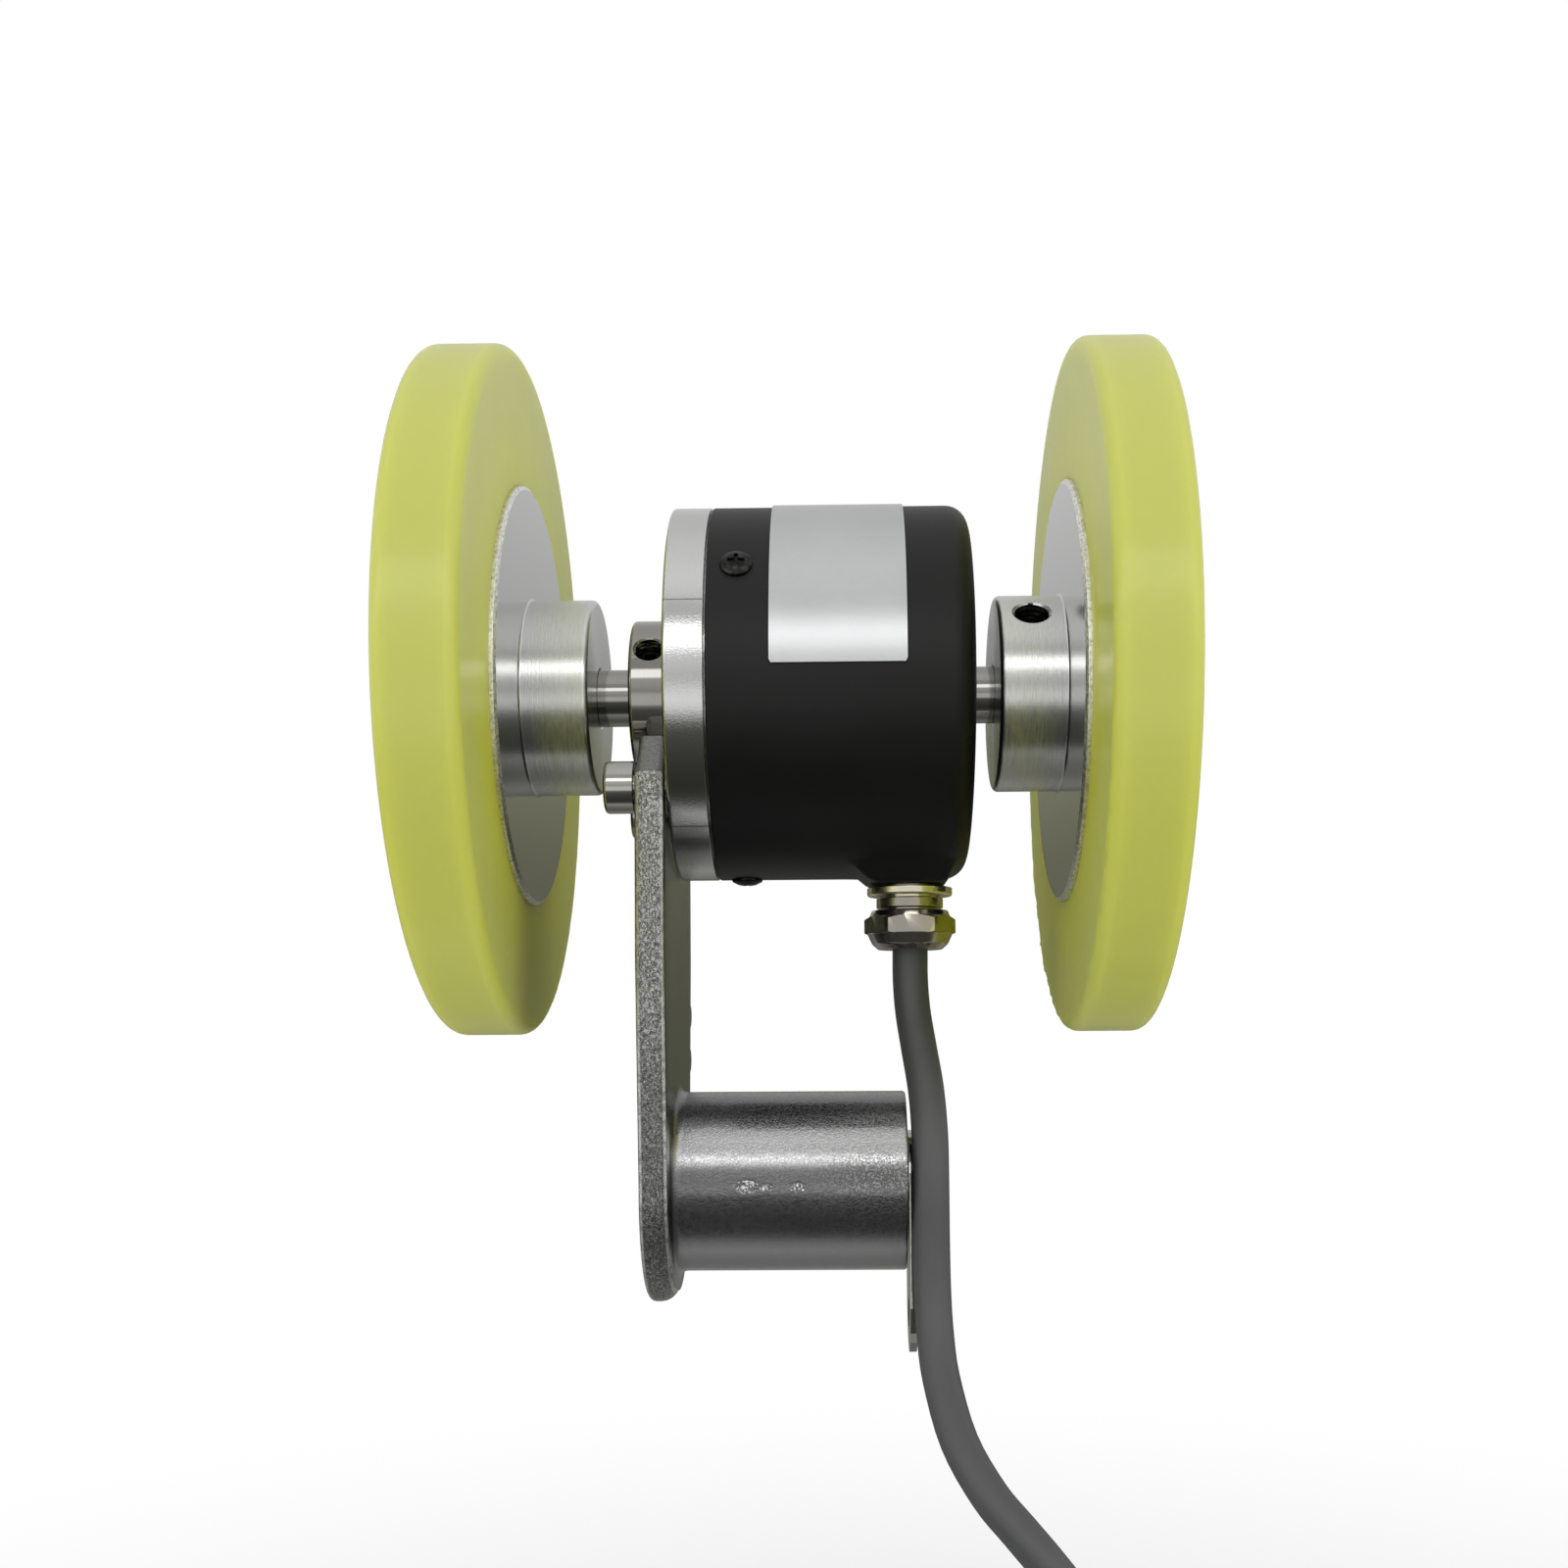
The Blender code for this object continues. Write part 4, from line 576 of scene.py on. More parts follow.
def platedBrass(sheet):
    spot = sheet.place()
    x, _, z = sheet.parts(spot)
    paintedTyreReflection = (x * 160 + sheet.cloud(spot, 3.0, 2.0) - 0.35).step(0.0, 1.0)  # painted reflection: a yellow tint from the tyre on its right side
    plate = sheet.mix(*colours["nickel"], paintedTyreReflection)
    rough = 0.1 + sheet.cloud(spot, 0.5, 3.0) * 0.14
    # painted highlight: the washer is coloured lighter than the rest of the plating
    washer = z.past(39.7, 39.8)
    return sheet.skin(plate, colours["washer"], washer, rough, sheet.cloud(spot, 0.9, 2.0), 0.008)


def springSteel(sheet):
    spot = sheet.place()
    oil, fine = sheet.cloud(spot, 2.0, 3.0), sheet.cloud(spot, 0.3, 2.0)
    return sheet.skin(*colours["spring"], oil, 0.25 + oil * 0.2, fine, 0.005)


def blackCoat(sheet):
    spot = sheet.place(shaftCentre)
    powder, haze = sheet.cloud(spot, 0.35, 3.0, 0.6), sheet.cloud(spot, 14.0, 2.0)
    rough = 0.4 + haze * 0.06 + powder * 0.08
    return sheet.skin(*colours["cover"], haze, rough, powder, 0.006)


def blackSteel(sheet):
    worn = sheet.cloud(sheet.place(), 0.8, 3.0)
    share, rough = worn.step(0.4, 0.8), 0.3 + worn * 0.2
    return sheet.skin(*colours["screw"], share, rough, worn, 0.01)


def silverFoil(sheet):
    brushed = sheet.cloud(sheet.place(shaftCentre, (1, 9, 9)), 1.2, 3.0)
    grain = brushed * 0.5 + sheet.cloud(sheet.place(shaftCentre), 9.0, 2.0) * 0.5
    return sheet.skin(*colours["foil"], grain, 0.26 + brushed * 0.12, grain, 0.006)


def limePolyurethane(sheet):
    spot, x, y, z, radius = sheet.fromShaft()
    deep = radius.past(44, 30)  # richer towards the hub
    milky = sheet.cloud(spot, 18.0, 3.0)
    specks = sheet.cloud(spot, 1.1, 2.0)
    body = sheet.mix(*colours["tyre"], deep * 0.85 + milky * 0.15)
    away = abs(abs(x - middleX * mm) - 43.1 * mm)  # from the middle of the tyre
    corner = away.past(3.6, 4.9) * radius.past(45.9, 46.9)
    body = sheet.mix(body, colours["tyreCorner"], corner * 0.35)  # painted shade: its rounded corners are darkened
    share, relief = specks.step(0.62, 0.8) * 0.25, milky * 0.8 + specks * 0.2
    coat = 0.12 + milky * 0.1 + radius.past(45.6, 47.4) * 0.15
    skin = sheet.skin(body, colours["tyreSpeck"], share, 0.34 + milky * 0.12, relief, 0.03)
    return {**skin, "Coat Weight": coat}


def greyPvc(sheet):
    spot = sheet.place()
    skin, dust = sheet.cloud(spot, 0.5, 3.0), sheet.cloud(spot, 12.0, 3.0)
    share, relief = dust * 0.7 + skin * 0.3, skin * 0.6 + dust * 0.4
    return sheet.skin(*colours["cable"], share, 0.42 + skin * 0.14, relief, 0.02)


def boardGreen(sheet):
    values = {"Vector": sheet.place(shaftCentre), "Scale": 180.0, "Distortion": 6.0}
    tracks = sheet.add("ShaderNodeTexWave", values, give="Fac")
    copper = tracks.step(0.55, 0.7)
    return sheet.skin(*colours["board"], copper, 0.25 + tracks * 0.1, copper, 0.02)


def discGlass(sheet):
    _, _, y, z, radius = sheet.fromShaft()
    slits = z.calc("SINE", z.calc("ARCTAN2", z, y) * 300).step(-0.1, 0.1)
    track = (radius > 14.2 * mm) * (radius < 15.8 * mm)
    lines = sheet.mix(*colours["glass"], track * slits)
    return {"Base Color": lines, "Roughness": 0.05 + track * 0.2}


def grainy(dark, light, size, rough, more):
    # one noise sets the colour, the relief, and how much more than least the roughness is
    def build(sheet):
        grain = sheet.cloud(sheet.place(), size, 3.0)
        return sheet.skin(dark, light, grain, rough + grain * more, grain, 0.01)

    return build


def colouredPvc(colour):
    return grainy(colour, tuple(min(1, c * 1.25 + 0.01) for c in colour), 0.6, 0.36, 0.15)


metal = {"Metallic": 1.0}
sawnRim = newFinish("sawn_aluminium", metal, sawnAluminium)
softGlow = {
    "Subsurface Weight": 0.95,
    "Subsurface Radius": (1.0, 1.0, 0.45),
    "Subsurface Scale": 0.005,
    "Specular IOR Level": 0.46,
    "Coat Roughness": 0.1,
}
waxy = {"Subsurface Weight": 0.1, "Subsurface Scale": 0.001}
finishTable = {
    "turned_aluminium": (metal, turnedAluminium),
    "cast_metal": ({}, castMetal),
    "ground_steel": (metal, groundSteel),
    "plated_brass": (metal, platedBrass),
    "spring_steel": (metal, springSteel),
    "black_coat": ({"Specular IOR Level": 0.27}, blackCoat),
    "black_steel": (metal, blackSteel),
    "silver_foil": ({"Metallic": 0.85}, silverFoil),
    "lime_polyurethane": (softGlow, limePolyurethane),
    "grey_pvc": ({}, greyPvc),
    **{name + "_pvc": ({}, colouredPvc(colour)) for name, colour in colours["cores"].items()},
    "black_rubber": ({}, grainy(*colours["rubber"], 0.4, 0.55, 0.2)),
    "white_nylon": (waxy, grainy(*colours["nylon"], 1.5, 0.4, 0.12)),
    "board_green": ({}, boardGreen),
    "disc_glass": ({"Transmission Weight": 0.4}, discGlass),
}
finishes = {name: newFinish(name, fixed, build) for name, (fixed, build) in finishTable.items()}
for row in frame["record"]["subparts"]:  # every CAD node that stays on show gets its finish
    data = nodes[row["node"]].data
    data.materials.clear()
    data.materials.append(finishes[row["material_slot"]])
print("finishes made:", len(finishes) + 1)


# Cable, from the gland down to its coil on the floor

cable = {
    "radius": 2.5,
    "glandX": -0.4,
    "exitZ": 32.1,
    "route": (  # in metres, from the gland to where the coil starts
        (-0.0004, 0, 0.0321), (-0.0004, -0.0001, 0.028), (-0.0001, -0.0011, 0.0235),
        (0.0006, -0.0033, 0.0185), (0.0014, -0.0061, 0.0128), (0.00175, -0.0088, 0.0065),
        (0.00175, -0.0103, 0), (0.00175, -0.0107, -0.007), (0.0018, -0.0114, -0.0135),
        (0.002, -0.013, -0.019), (0.0026, -0.0158, -0.0246),
        (0.0046, -0.0205, -0.0318), (0.0081, -0.0246, -0.0376), (0.0116, -0.0272, -0.0414),
        (0.0154, -0.0294, -0.0456), (0.0208, -0.0316, -0.0524), (0.0258, -0.0339, -0.0604),
        (0.0308, -0.0362, -0.069), (0.0372, -0.0384, -0.0774), (0.0454, -0.0397, -0.0842),
        (0.052, -0.04, -0.0867), (0.056, -0.04, -0.087),
    ),
    "layers": 2,
    "turnsPerLayer": 3.625,
    "pitch": 5.6,
    "pointsPerTurn": 48,
    "leadIn": 0.3,
    "tailOut": 5.0,
    "sides": 20,
}


def smoothLine(points, parts):
    # a Catmull-Rom curve through the points
    knots = [Vector(point) for point in points]
    knots = [2 * knots[0] - knots[1], *knots, 2 * knots[-1] - knots[-2]]
    line = []
    for before, start, end, after in zip(knots, knots[1:], knots[2:], knots[3:]):
        for share in (i / parts for i in range(parts)):
            bend = (2 * before - 5 * start + 4 * end - after) * share**2
            twist = (3 * start - before - 3 * end + after) * share**3
            line.append(0.5 * (2 * start + (end - before) * share + bend + twist))
    return line + [knots[-2]]


def coilLine(size):
    perLayer, pitch = size["turnsPerLayer"], size["pitch"]
    last = Vector(size["route"][-1]) / mm
    centreX = last.x + 2 * size["radius"] + size["leadIn"]
    line = [Vector((last.x + size["leadIn"], last.y, last.z))]
    for i in range(round(size["layers"] * perLayer * size["pointsPerTurn"]) + 1):
        turns = i / size["pointsPerTurn"]
        layer = math.floor(turns / perLayer)
        inward = turns - layer * perLayer
        if layer % 2:
            inward = perLayer - inward
        changes = [turns - change * perLayer for change in range(1, size["layers"])]
        rise = sum(min(1, max(0, change * 2 + 0.5)) for change in changes)
        radius = -last.y - inward * pitch
        angle = fullTurn * turns - math.pi / 2
        x, y = centreX + radius * math.cos(angle), radius * math.sin(angle)
        line.append(Vector((x, y, last.z + rise * pitch)))
    line.append(line[-1] + Vector((-math.sin(angle), math.cos(angle), 0)) * size["tailOut"])
    return line


cableLine = smoothLine([Vector(point) / mm for point in cable["route"]], 4) + coilLine(cable)
cableLength = sum((two - one).length for one, two in zip(cableLine, cableLine[1:]))
signalCable = makeTube("signalCable", cableLine, cable["radius"], cable["sides"], "grey_pvc")
print("cable made, mm:", round(cableLength))


# The coil's tie: a strap with ratchet ribs round the bundle, and its head

tie = {
    "wall": 1.0,
    "corner": 2.4,
    "headLength": 5.0,
    "headDepth": 0.9,
    "headProud": 2.1,
    "headEdge": 0.5,
    "ribPitch": 0.8,
    "ribHeight": 0.25,
    "ribWidth": 0.4,
    "ribMargin": 1.6,
    "plainEnd": 6.0,
}


def makeTie(size):
    low, high = span("cable_tie")
    wall, pitch, plain = size["wall"], size["ribPitch"], size["plainEnd"]
    rubber = "black_rubber"
    outside = makeBlock("coilTie", low, high, rubber)
    deep = Vector((-1, wall, wall))
    inside = makeBlock("tieInside", low + deep, high - deep)
    for block, radius in ((outside, size["corner"]), (inside, size["corner"] - wall)):
        step = block.modifiers.new("corners", "BEVEL")
        step.width, step.segments = radius * mm, 5
        step.limit_method = "WEIGHT"
        weights = block.data.attributes.new("bevel_weight_edge", "FLOAT", "EDGE")
        for edge in block.data.edges:  # those along X are rounded
            one, two = (block.data.vertices[index].co for index in edge.vertices)
            weights.data[edge.index].value = float(abs(one.x - two.x) > 1e-4)
    strap = carve(outside, plainMesh(inside))
    margin, half = size["ribMargin"], size["ribWidth"] / 2
    rib = makeBlock("rib", (low.x + margin, -half, -size["ribHeight"]), (high.x - margin, half, 0.05), rubber)
    count = int((high.y - low.y - 2 * plain) / pitch)
    places = [((0, low.y + plain + i * pitch, high.z), (0, 0, 0)) for i in range(count)]
    strap = carve(strap, makeCopies("tieRibs", rib, places))
    middle, half = (low.y + high.y) / 2, size["headLength"] / 2
    start = (low.x, middle - half, high.z - size["headDepth"])
    end = (high.x, middle + half, high.z + size["headProud"])
    head = makeBlock("tieHead", start, end, rubber, size["headEdge"])
    return settle(carve(strap, head, operation="UNION"), "pivot", "cable_tie")


coilTie = makeTie(tie)


# The bare cores at the cable's end, each with its tinned strands

core = {
    "radius": 0.65,
    "bareLength": 6.0,
    "strandRadius": 0.19,
    "strandCircle": 0.4,
    "strandsInside": 1.5,
    "sides": 16,
}


def makeCore(colour, size):
    # the CAD tube's rings, in their order along the core, give the line
    points = [vertex.co / mm for vertex in nodes["core_" + colour].data.vertices]
    points.sort(key=lambda point: (point - cableLine[-1]).length)
    rings = [[points[0]]]
    for point in points[1:]:
        if (point - rings[-1][0]).length > 2.2 * size["radius"]:
            rings.append([])
        rings[-1].append(point)
    line = smoothLine([sum(ring, Vector()) / len(ring) for ring in rings], 4)
    lengths = [0.0]
    for one, two in zip(line, line[1:]):
        lengths.append(lengths[-1] + (two - one).length)
    bare = next(i for i, length in enumerate(lengths) if length > lengths[-1] - size["bareLength"])
    pvc = colour + "_pvc"
    jacket = makeTube(colour + "Core", line[: bare + 1], size["radius"], size["sides"], pvc)
    along = (line[-1] - line[bare]).normalized()
    base = line[bare] - along * size["strandsInside"]
    strand = [(0, 0, 0), (0, 0, (line[-1] - base).length)]
    strand = makeTube("strand", strand, size["strandRadius"], 8, "plated_brass")
    turn = along.to_track_quat("Z", "Y")
    sides = [Vector()]
    for i in range(6):
        angle = i * fullTurn / 6
        sides.append(Vector((math.cos(angle), math.sin(angle), 0)) * size["strandCircle"])
    places = [(base + turn @ side, tuple(turn.to_euler())) for side in sides]
    strands = makeCopies(colour + "Strands", strand, places)
    settle(jacket, "pivot", "core_" + colour)
    settle(strands, "pivot")
    return [jacket, strands]


corePieces = [piece for colour in colours["cores"] for piece in makeCore(colour, core)]
print("tie and cores made")


# Gland under the cover: washer, body and clamping nut

gland = {
    "bore": 2.75,
    "washerBore": 4.1,
    "stem": 3.7,
    "bodyHex": (39.65, 38.15),
    "bodyRadius": 4.7,
    "nutRidge": (1.3, 3.2),  # where its corners stand out, below its top
    "sides": 96,
}


def makeGland(size):
    brass = "plated_brass"
    bore, stem, sides, wide = size["bore"], size["stem"], size["sides"], size["bodyRadius"]
    low, high = span("gland_washer")
    x, y = (low.x + high.x) / 2, (low.y + high.y) / 2

    def turned(name, outline, finish=brass, sides=sides, steps=5):
        return makeTurned(name, outline, finish, sides, steps, (x, y, 0), True)

    inner, outer = size["washerBore"], high.x - x
    outline = [(high.z, inner, 0), (high.z, outer, 0.15), (low.z, outer, 0.35), (low.z, inner, 0)]
    settle(turned("glandWasher", outline), "arm", "gland_washer")
    low, high = span("gland_body")
    hexTop, hexBottom = size["bodyHex"]
    outline = [
        (high.z, bore, 0), (high.z, stem + 0.2, 0.3), (hexTop, stem + 0.2, 0), (hexTop, wide, 0.2),
        (hexBottom, wide, 0.25), (hexBottom, stem, 0), (low.z, stem, 0.2), (low.z, bore, 0),
    ]
    settle(turned("glandBody", outline, sides=72), "arm", "gland_body")
    low, high = span("gland_nut")
    reach = (high.x - low.x) / 2
    top, bottom = high.z, low.z
    ridgeTop, ridgeBottom = (top - depth for depth in size["nutRidge"])
    outline = [
        (top, stem + 0.25, 0.1), (top, reach * 0.83, 0.25), (ridgeTop + 0.45, reach * 0.885, 0.2),
        (ridgeTop, reach, 0.1), (ridgeBottom, reach, 0.15), (ridgeBottom - 0.15, reach * 0.93, 0.1),
        (bottom + 0.75, reach * 0.83, 0.9), (bottom, reach * 0.7, 0.25), (bottom, bore, 0.2),
        (bottom + 1.2, bore, 0), (bottom + 1.2, stem + 0.25, 0),
    ]
    nut = turned("glandNut", outline)
    # six flats over the nut's upper part, round below them
    flats = turned("nutFlats", rod(top + 1, ridgeBottom - 0.5, reach / 0.998), brass, 6, 1)
    high, low, wide = ridgeBottom - 0.06, bottom - 1, reach * 0.94
    dome = turned("nutDome", [(high, 0, 0), (high, wide, 0.1), (low, wide, 0), (low, 0, 0)], None)
    nut = carve(nut, carve(flats, dome, operation="UNION"), operation="INTERSECT")
    settle(nut, "arm", "gland_nut")
    # the cable goes on up through the gland into the cover
    low, high = span("cable_tail")
    line = [(x, y, cable["exitZ"] - 0.25), (x, y, (low.z + high.z) / 2), (x, y, high.z)]
    tail = makeTube("cableTail", line, cable["radius"] - 0.01, 48, "grey_pvc")
    settle(tail, "arm", "cable_tail")


makeGland(gland)
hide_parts("cable", "cable_coil")
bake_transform(signalCable)
[tuple(point * mm) for point in cableLine]


# Inside: a lead of each colour up to the board, and the spring round the sleeve

inside = {
    "leadRadius": 0.42,
    "leadCircle": 0.72,
    "leadShares": ((0, 0), (0.17, 0), (0.5, 0.5), (0.83, 1), (1, 1)),
    "wireRadius": 0.8,
    "springRadius": 7.75,
    "springTurns": 6.5,
    "springPoints": 36,
    "springLegs": (11.2, 5.1),
}


def makeLeads(size):
    low, high = span("inner_leads")
    half = (high.y - low.y) / math.sqrt(3)
    start, end = Vector((high.x - half, 0, low.z)), Vector((low.x + half, 0, high.z))
    for i, colour in enumerate(colours["cores"]):
        angle, pvc = fullTurn * i / len(colours["cores"]), colour + "_pvc"
        aside = Vector((math.cos(angle), math.sin(angle), 0)) * size["leadCircle"]
        knots = [
            Vector((start.x + (end.x - start.x) * across, 0, start.z + (end.z - start.z) * up)) + aside
            for up, across in size["leadShares"]
        ]
        lead = makeTube(colour + "Lead", smoothLine(knots, 6), size["leadRadius"], 12, pvc)
        settle(lead, "arm")
    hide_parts("inner_leads")


def makeSpring(size):
    low, high = span("torsion_spring")
    wire, radius = size["wireRadius"], size["springRadius"]
    left, right = low.x + wire, high.x - wire
    outer, inner = size["springLegs"]
    count = round(size["springTurns"] * size["springPoints"])
    line = [Vector((left, 0, outer)), Vector((left, 0, radius + 1.6)), Vector((left, -0.25, radius + 0.5))]
    for i in range(5, count + 1):
        angle = fullTurn * i / size["springPoints"]
        x = left + (right - left) * i / count
        line.append(Vector((x, -radius * math.sin(angle), radius * math.cos(angle))))
    line.append(Vector((right, -inner * math.sin(angle), inner * math.cos(angle))))
    spring = makeTube("torsionSpring", smoothLine(line, 2), wire, 14, "spring_steel")
    settle(spring, "pivot", "torsion_spring")


makeLeads(inside)
makeSpring(inside)
print("leads and spring made")


# Wheels: a tyre on a hub with its boss, and the screws that hold them on the shaft

wheel = {
    "tyreEdge": 1.6,
    "tyreInner": 29.32,
    "rimWidth": 0.55,
    "discProud": 0.8,
    "bossRadius": 13.7,
    "bore": 4.1,
    "holeRadius": 2.5,
    "holeBottom": 3.5,
    "threadPitch": 0.8,
    "oiledFrom": 4.2,
    "screw": (5, 2.2, 1.45),  # its length, its radius, and its key's
    "screwTop": 9.3,
    # the screw's angle, how deep the tyre's edge is nicked, and where the noise for that starts
    "sides": {"left": (-134, 0.05, 3), "right": (43.5, 0.28, 9)},
}


def threadHole(x, angle, radius, bottom, top, pitch):
    # a cutter like a thread, out from the shaft: a bore with sharp ridges left between its grooves
    profile = [(top + 1, 0, 0), (top + 1, radius, 0)]
    for i in range(int((top - bottom) / pitch)):
        groove = top - i * pitch
        profile += [(groove, radius, 0), (groove - pitch / 2, radius - pitch * 0.2, 0)]
    profile += [(bottom, radius, 0), (bottom, 0, 0)]
    profile[2] = (top, radius + 0.25, 0)
    hole = makeTurned("hole", profile, None, 40, 1, upright=True)
    hole.location = Vector((x, 0, shaftHeight)) * mm
    hole.rotation_euler = standOut(angle)
    return plainMesh(hole)


def darkenHole(piece, x, angle, radius, depthFrom):
    # painted shade: the threads in a hole are made dark
    axis = Vector((0, -math.cos(angle * degree), math.sin(angle * degree)))
    piece.data.materials.append(finishes["black_steel"])
    for polygon in piece.data.polygons:
        inHole = True
        for index in polygon.vertices:
            away = piece.data.vertices[index].co / mm - Vector((x, 0, shaftHeight))
            along = away.dot(axis)
            inHole = inHole and along > depthFrom and (away - axis * along).length < radius + 0.02
        if inHole:
            polygon.material_index = len(piece.data.materials) - 1


def makeWheel(side, size):
    angle, nickDepth, seed = size["sides"][side]
    left = side == "left"
    outward = -1 if left else 1  # the boss faces the encoder
    low, high = span(side + "_tyre")
    inner, outer = (high.x, low.x) if left else (low.x, high.x)
    radius, rounding, tyreInner = (high.y - low.y) / 2, size["tyreEdge"], size["tyreInner"]
    outline = [
        (inner, tyreInner, 0.2), (inner, radius - 2.2, 0), (inner, radius, rounding),
        (inner + outward * 1.8, radius, 0), (outer, radius, rounding), (outer, tyreInner, 0.2),
    ]
    tyre = makeTurned(side + "Tyre", outline, "lime_polyurethane", 256, centre=shaftCentre)
    for vertex in tyre.data.vertices:  # small nicks along the lower part of the inner edge
        x, y, z = vertex.co / mm
        share = min(1, max(0, (62 - z) / 20)) * max(0, 1 - abs(x - inner))
        if share > 0 and math.hypot(y, z - shaftHeight) > radius - 1.8:
            push = noise.noise(vertex.co / mm * 0.9 + Vector((seed, 0, 0)))
            vertex.co += vertex.normal * push * nickDepth * share * mm
    settle(tyre, "rotor", side + "_tyre")
    low, high = span(side + "_hub")
    bossEnd, discEnd = (high.x, low.x) if left else (low.x, high.x)
    radius, boss, bore, rim = (high.y - low.y) / 2, size["bossRadius"], size["bore"], size["rimWidth"]
    face = inner - outward * size["discProud"]
    outline = [
        (bossEnd, bore, 0.3), (bossEnd, boss, 0.7), (face, boss, 0.25), (face, radius - rim, 0),
        (face + outward * 0.35, radius, 0.1), (discEnd, radius, 0.4), (discEnd, bore, 0.3),
    ]
    hub = makeTurned(side + "Hub", outline, "turned_aluminium", 256, centre=shaftCentre)
    middle = (bossEnd + face) / 2
    depths = (size["holeRadius"], size["holeBottom"], boss, size["threadPitch"])
    hub = carve(hub, threadHole(middle, angle, *depths))
    hub.data.materials.append(sawnRim)
    for polygon in hub.data.polygons:
        spot = polygon.center / mm
        if math.hypot(spot.y, spot.z - shaftHeight) > radius - rim * 0.98:
            polygon.material_index = 1
    darkenHole(hub, middle, angle, size["holeRadius"], size["oiledFrom"])
    settle(hub, "rotor", side + "_hub")
    return middle, angle


def makeKeyScrews(name, size, spots, *stoodFor):
    # headless screws with a hexagon socket, at each (x, angle) on the shaft
    length, radius, key = size["screw"]
    screw = makeTurned("screw", rod(0, -length, radius, 0.35), "black_steel", 48, 2, upright=True)
    socket = makeTurned("socket", rod(1, -length * 0.5, key), None, 6, 1, upright=True)
    places = [(onShaft(x, size["screwTop"], angle), standOut(angle)) for x, angle in spots]
    screws = makeCopies(name, carve(screw, socket), places)
    settle(screws, "rotor", *stoodFor)


hubSpots = [makeWheel(side, wheel) for side in wheel["sides"]]
makeKeyScrews("hubScrews", wheel, hubSpots, "hub_set_screw_1", "hub_set_screw_2")
print("wheels made")


# Shaft, and the hollow shaft with its clamping collar

shaft = {
    "radius": 4.0,
    "edge": 0.4,
    "bore": 4.1,
    "sleeveRadius": 6.0,
    "collarRight": -33.3,
    "collarRadius": 10.75,
    "collarEdge": 0.55,
    "holes": (28, 208),
    "holeRadius": 2.0,
    "holeBottom": 3.5,
    "threadPitch": 0.7,
    "screw": (4, 1.72, 1.15),  # its length, its radius, and its key's
    "screwTop": 8.3,
}


def makeShafts(size):
    low, high = span("wheel_shaft")
    outline = rod(high.x, low.x, size["radius"], size["edge"])
    axle = makeTurned("wheelAxle", outline, "ground_steel", 96, centre=shaftCentre)
    settle(axle, "rotor", "wheel_shaft")
    low, high = span("hollow_shaft")
    bore, sleeve, right = size["bore"], size["sleeveRadius"], size["collarRight"]
    collar, edge = size["collarRadius"], size["collarEdge"]
    outline = [
        (high.x, bore, 0.2), (high.x, sleeve, 0.3), (right, sleeve, 0), (right, collar, edge),
        (low.x, collar, edge), (low.x, bore, 0.4),
    ]
    hollow = makeTurned("hollowShaft", outline, "ground_steel", 128, centre=shaftCentre)
    spots = [((low.x + right) / 2, angle) for angle in size["holes"]]
    depths = (size["holeRadius"], size["holeBottom"], collar, size["threadPitch"])
    hollow = carve(hollow, *[threadHole(x, angle, *depths) for x, angle in spots])
    settle(hollow, "rotor", "hollow_shaft")
    makeKeyScrews("collarScrews", size, spots, "collar_set_screw_1", "collar_set_screw_2")


makeShafts(shaft)
print("shafts made")


# Encoder: flange, cover with its cable outlet, screws and the bare label

encoder = {
    "radius": 26.0,
    "flange": {"bore": 11.2, "edge": 0.5, "rimEnd": -27.5, "spigotRadius": 23.9, "spigotEnd": -19.6},
    "cover": {
        "bore": 24.2,
        "rearRadius": 3.0,
        "rearWall": 3.0,
        "hole": 6.7,
        "sides": 288,
        "ringStep": 0.6,
        "faceZ": 41.4,
        "rootZ": 48.5,
        "faceX": (-6.0, 4.6),
        "rootX": (-13.4, 7.2),
        "faceHalf": 7.4,
        "rootHalf": 12.0,
        "blend": 0.55,
    },
    "label": {
        "x": (-19.05, -1.35),
        "angles": (-1.4, 98.4),
        "radii": (26.13, 26.31),
        "corner": 0.25,
        "columns": 24,
        "rows": 96,
    },
    "screws": {
        "x": -23.35,
        "seat": 26.02,
        "angles": (30, 150, -90),
        "headRadius": 2.15,
        "headHeight": 0.95,
        "cross": (1.15, 0.27, 0.55),
    },
}


def softEnd(one, two, width, sign):
    # the larger of two values where sign is 1, the smaller where it is -1, blended where they meet
    return 0.5 * (one + two + sign * math.sqrt((one - two) ** 2 + width**2))


def outletReach(x, y, z, size):
    # how far out from the shaft the outlet's block goes, through this point of the cover
    if z > -3:
        return 0.0
    length, blend = math.hypot(y, z), size["blend"]
    face, root = shaftHeight - size["faceZ"], shaftHeight - size["rootZ"]
    drop = face - root
    downPerMm, sidePerMm = -z / length, abs(y) / length
    reach = face / downPerMm  # where the ray meets the face
    slope = (size["rootHalf"] - size["faceHalf"]) / drop
    wall = (size["faceHalf"] + face * slope) / (sidePerMm + downPerMm * slope)
    reach = softEnd(reach, wall, blend, -1)
    for faceX, rootX, sign in zip(size["faceX"], size["rootX"], (-1, 1)):
        lean = (rootX - faceX) * sign / drop
        gone = (x - faceX) * sign
        reach = softEnd(reach, (face - gone / lean) / downPerMm, blend, -1)  # the slanting end wall
    return reach


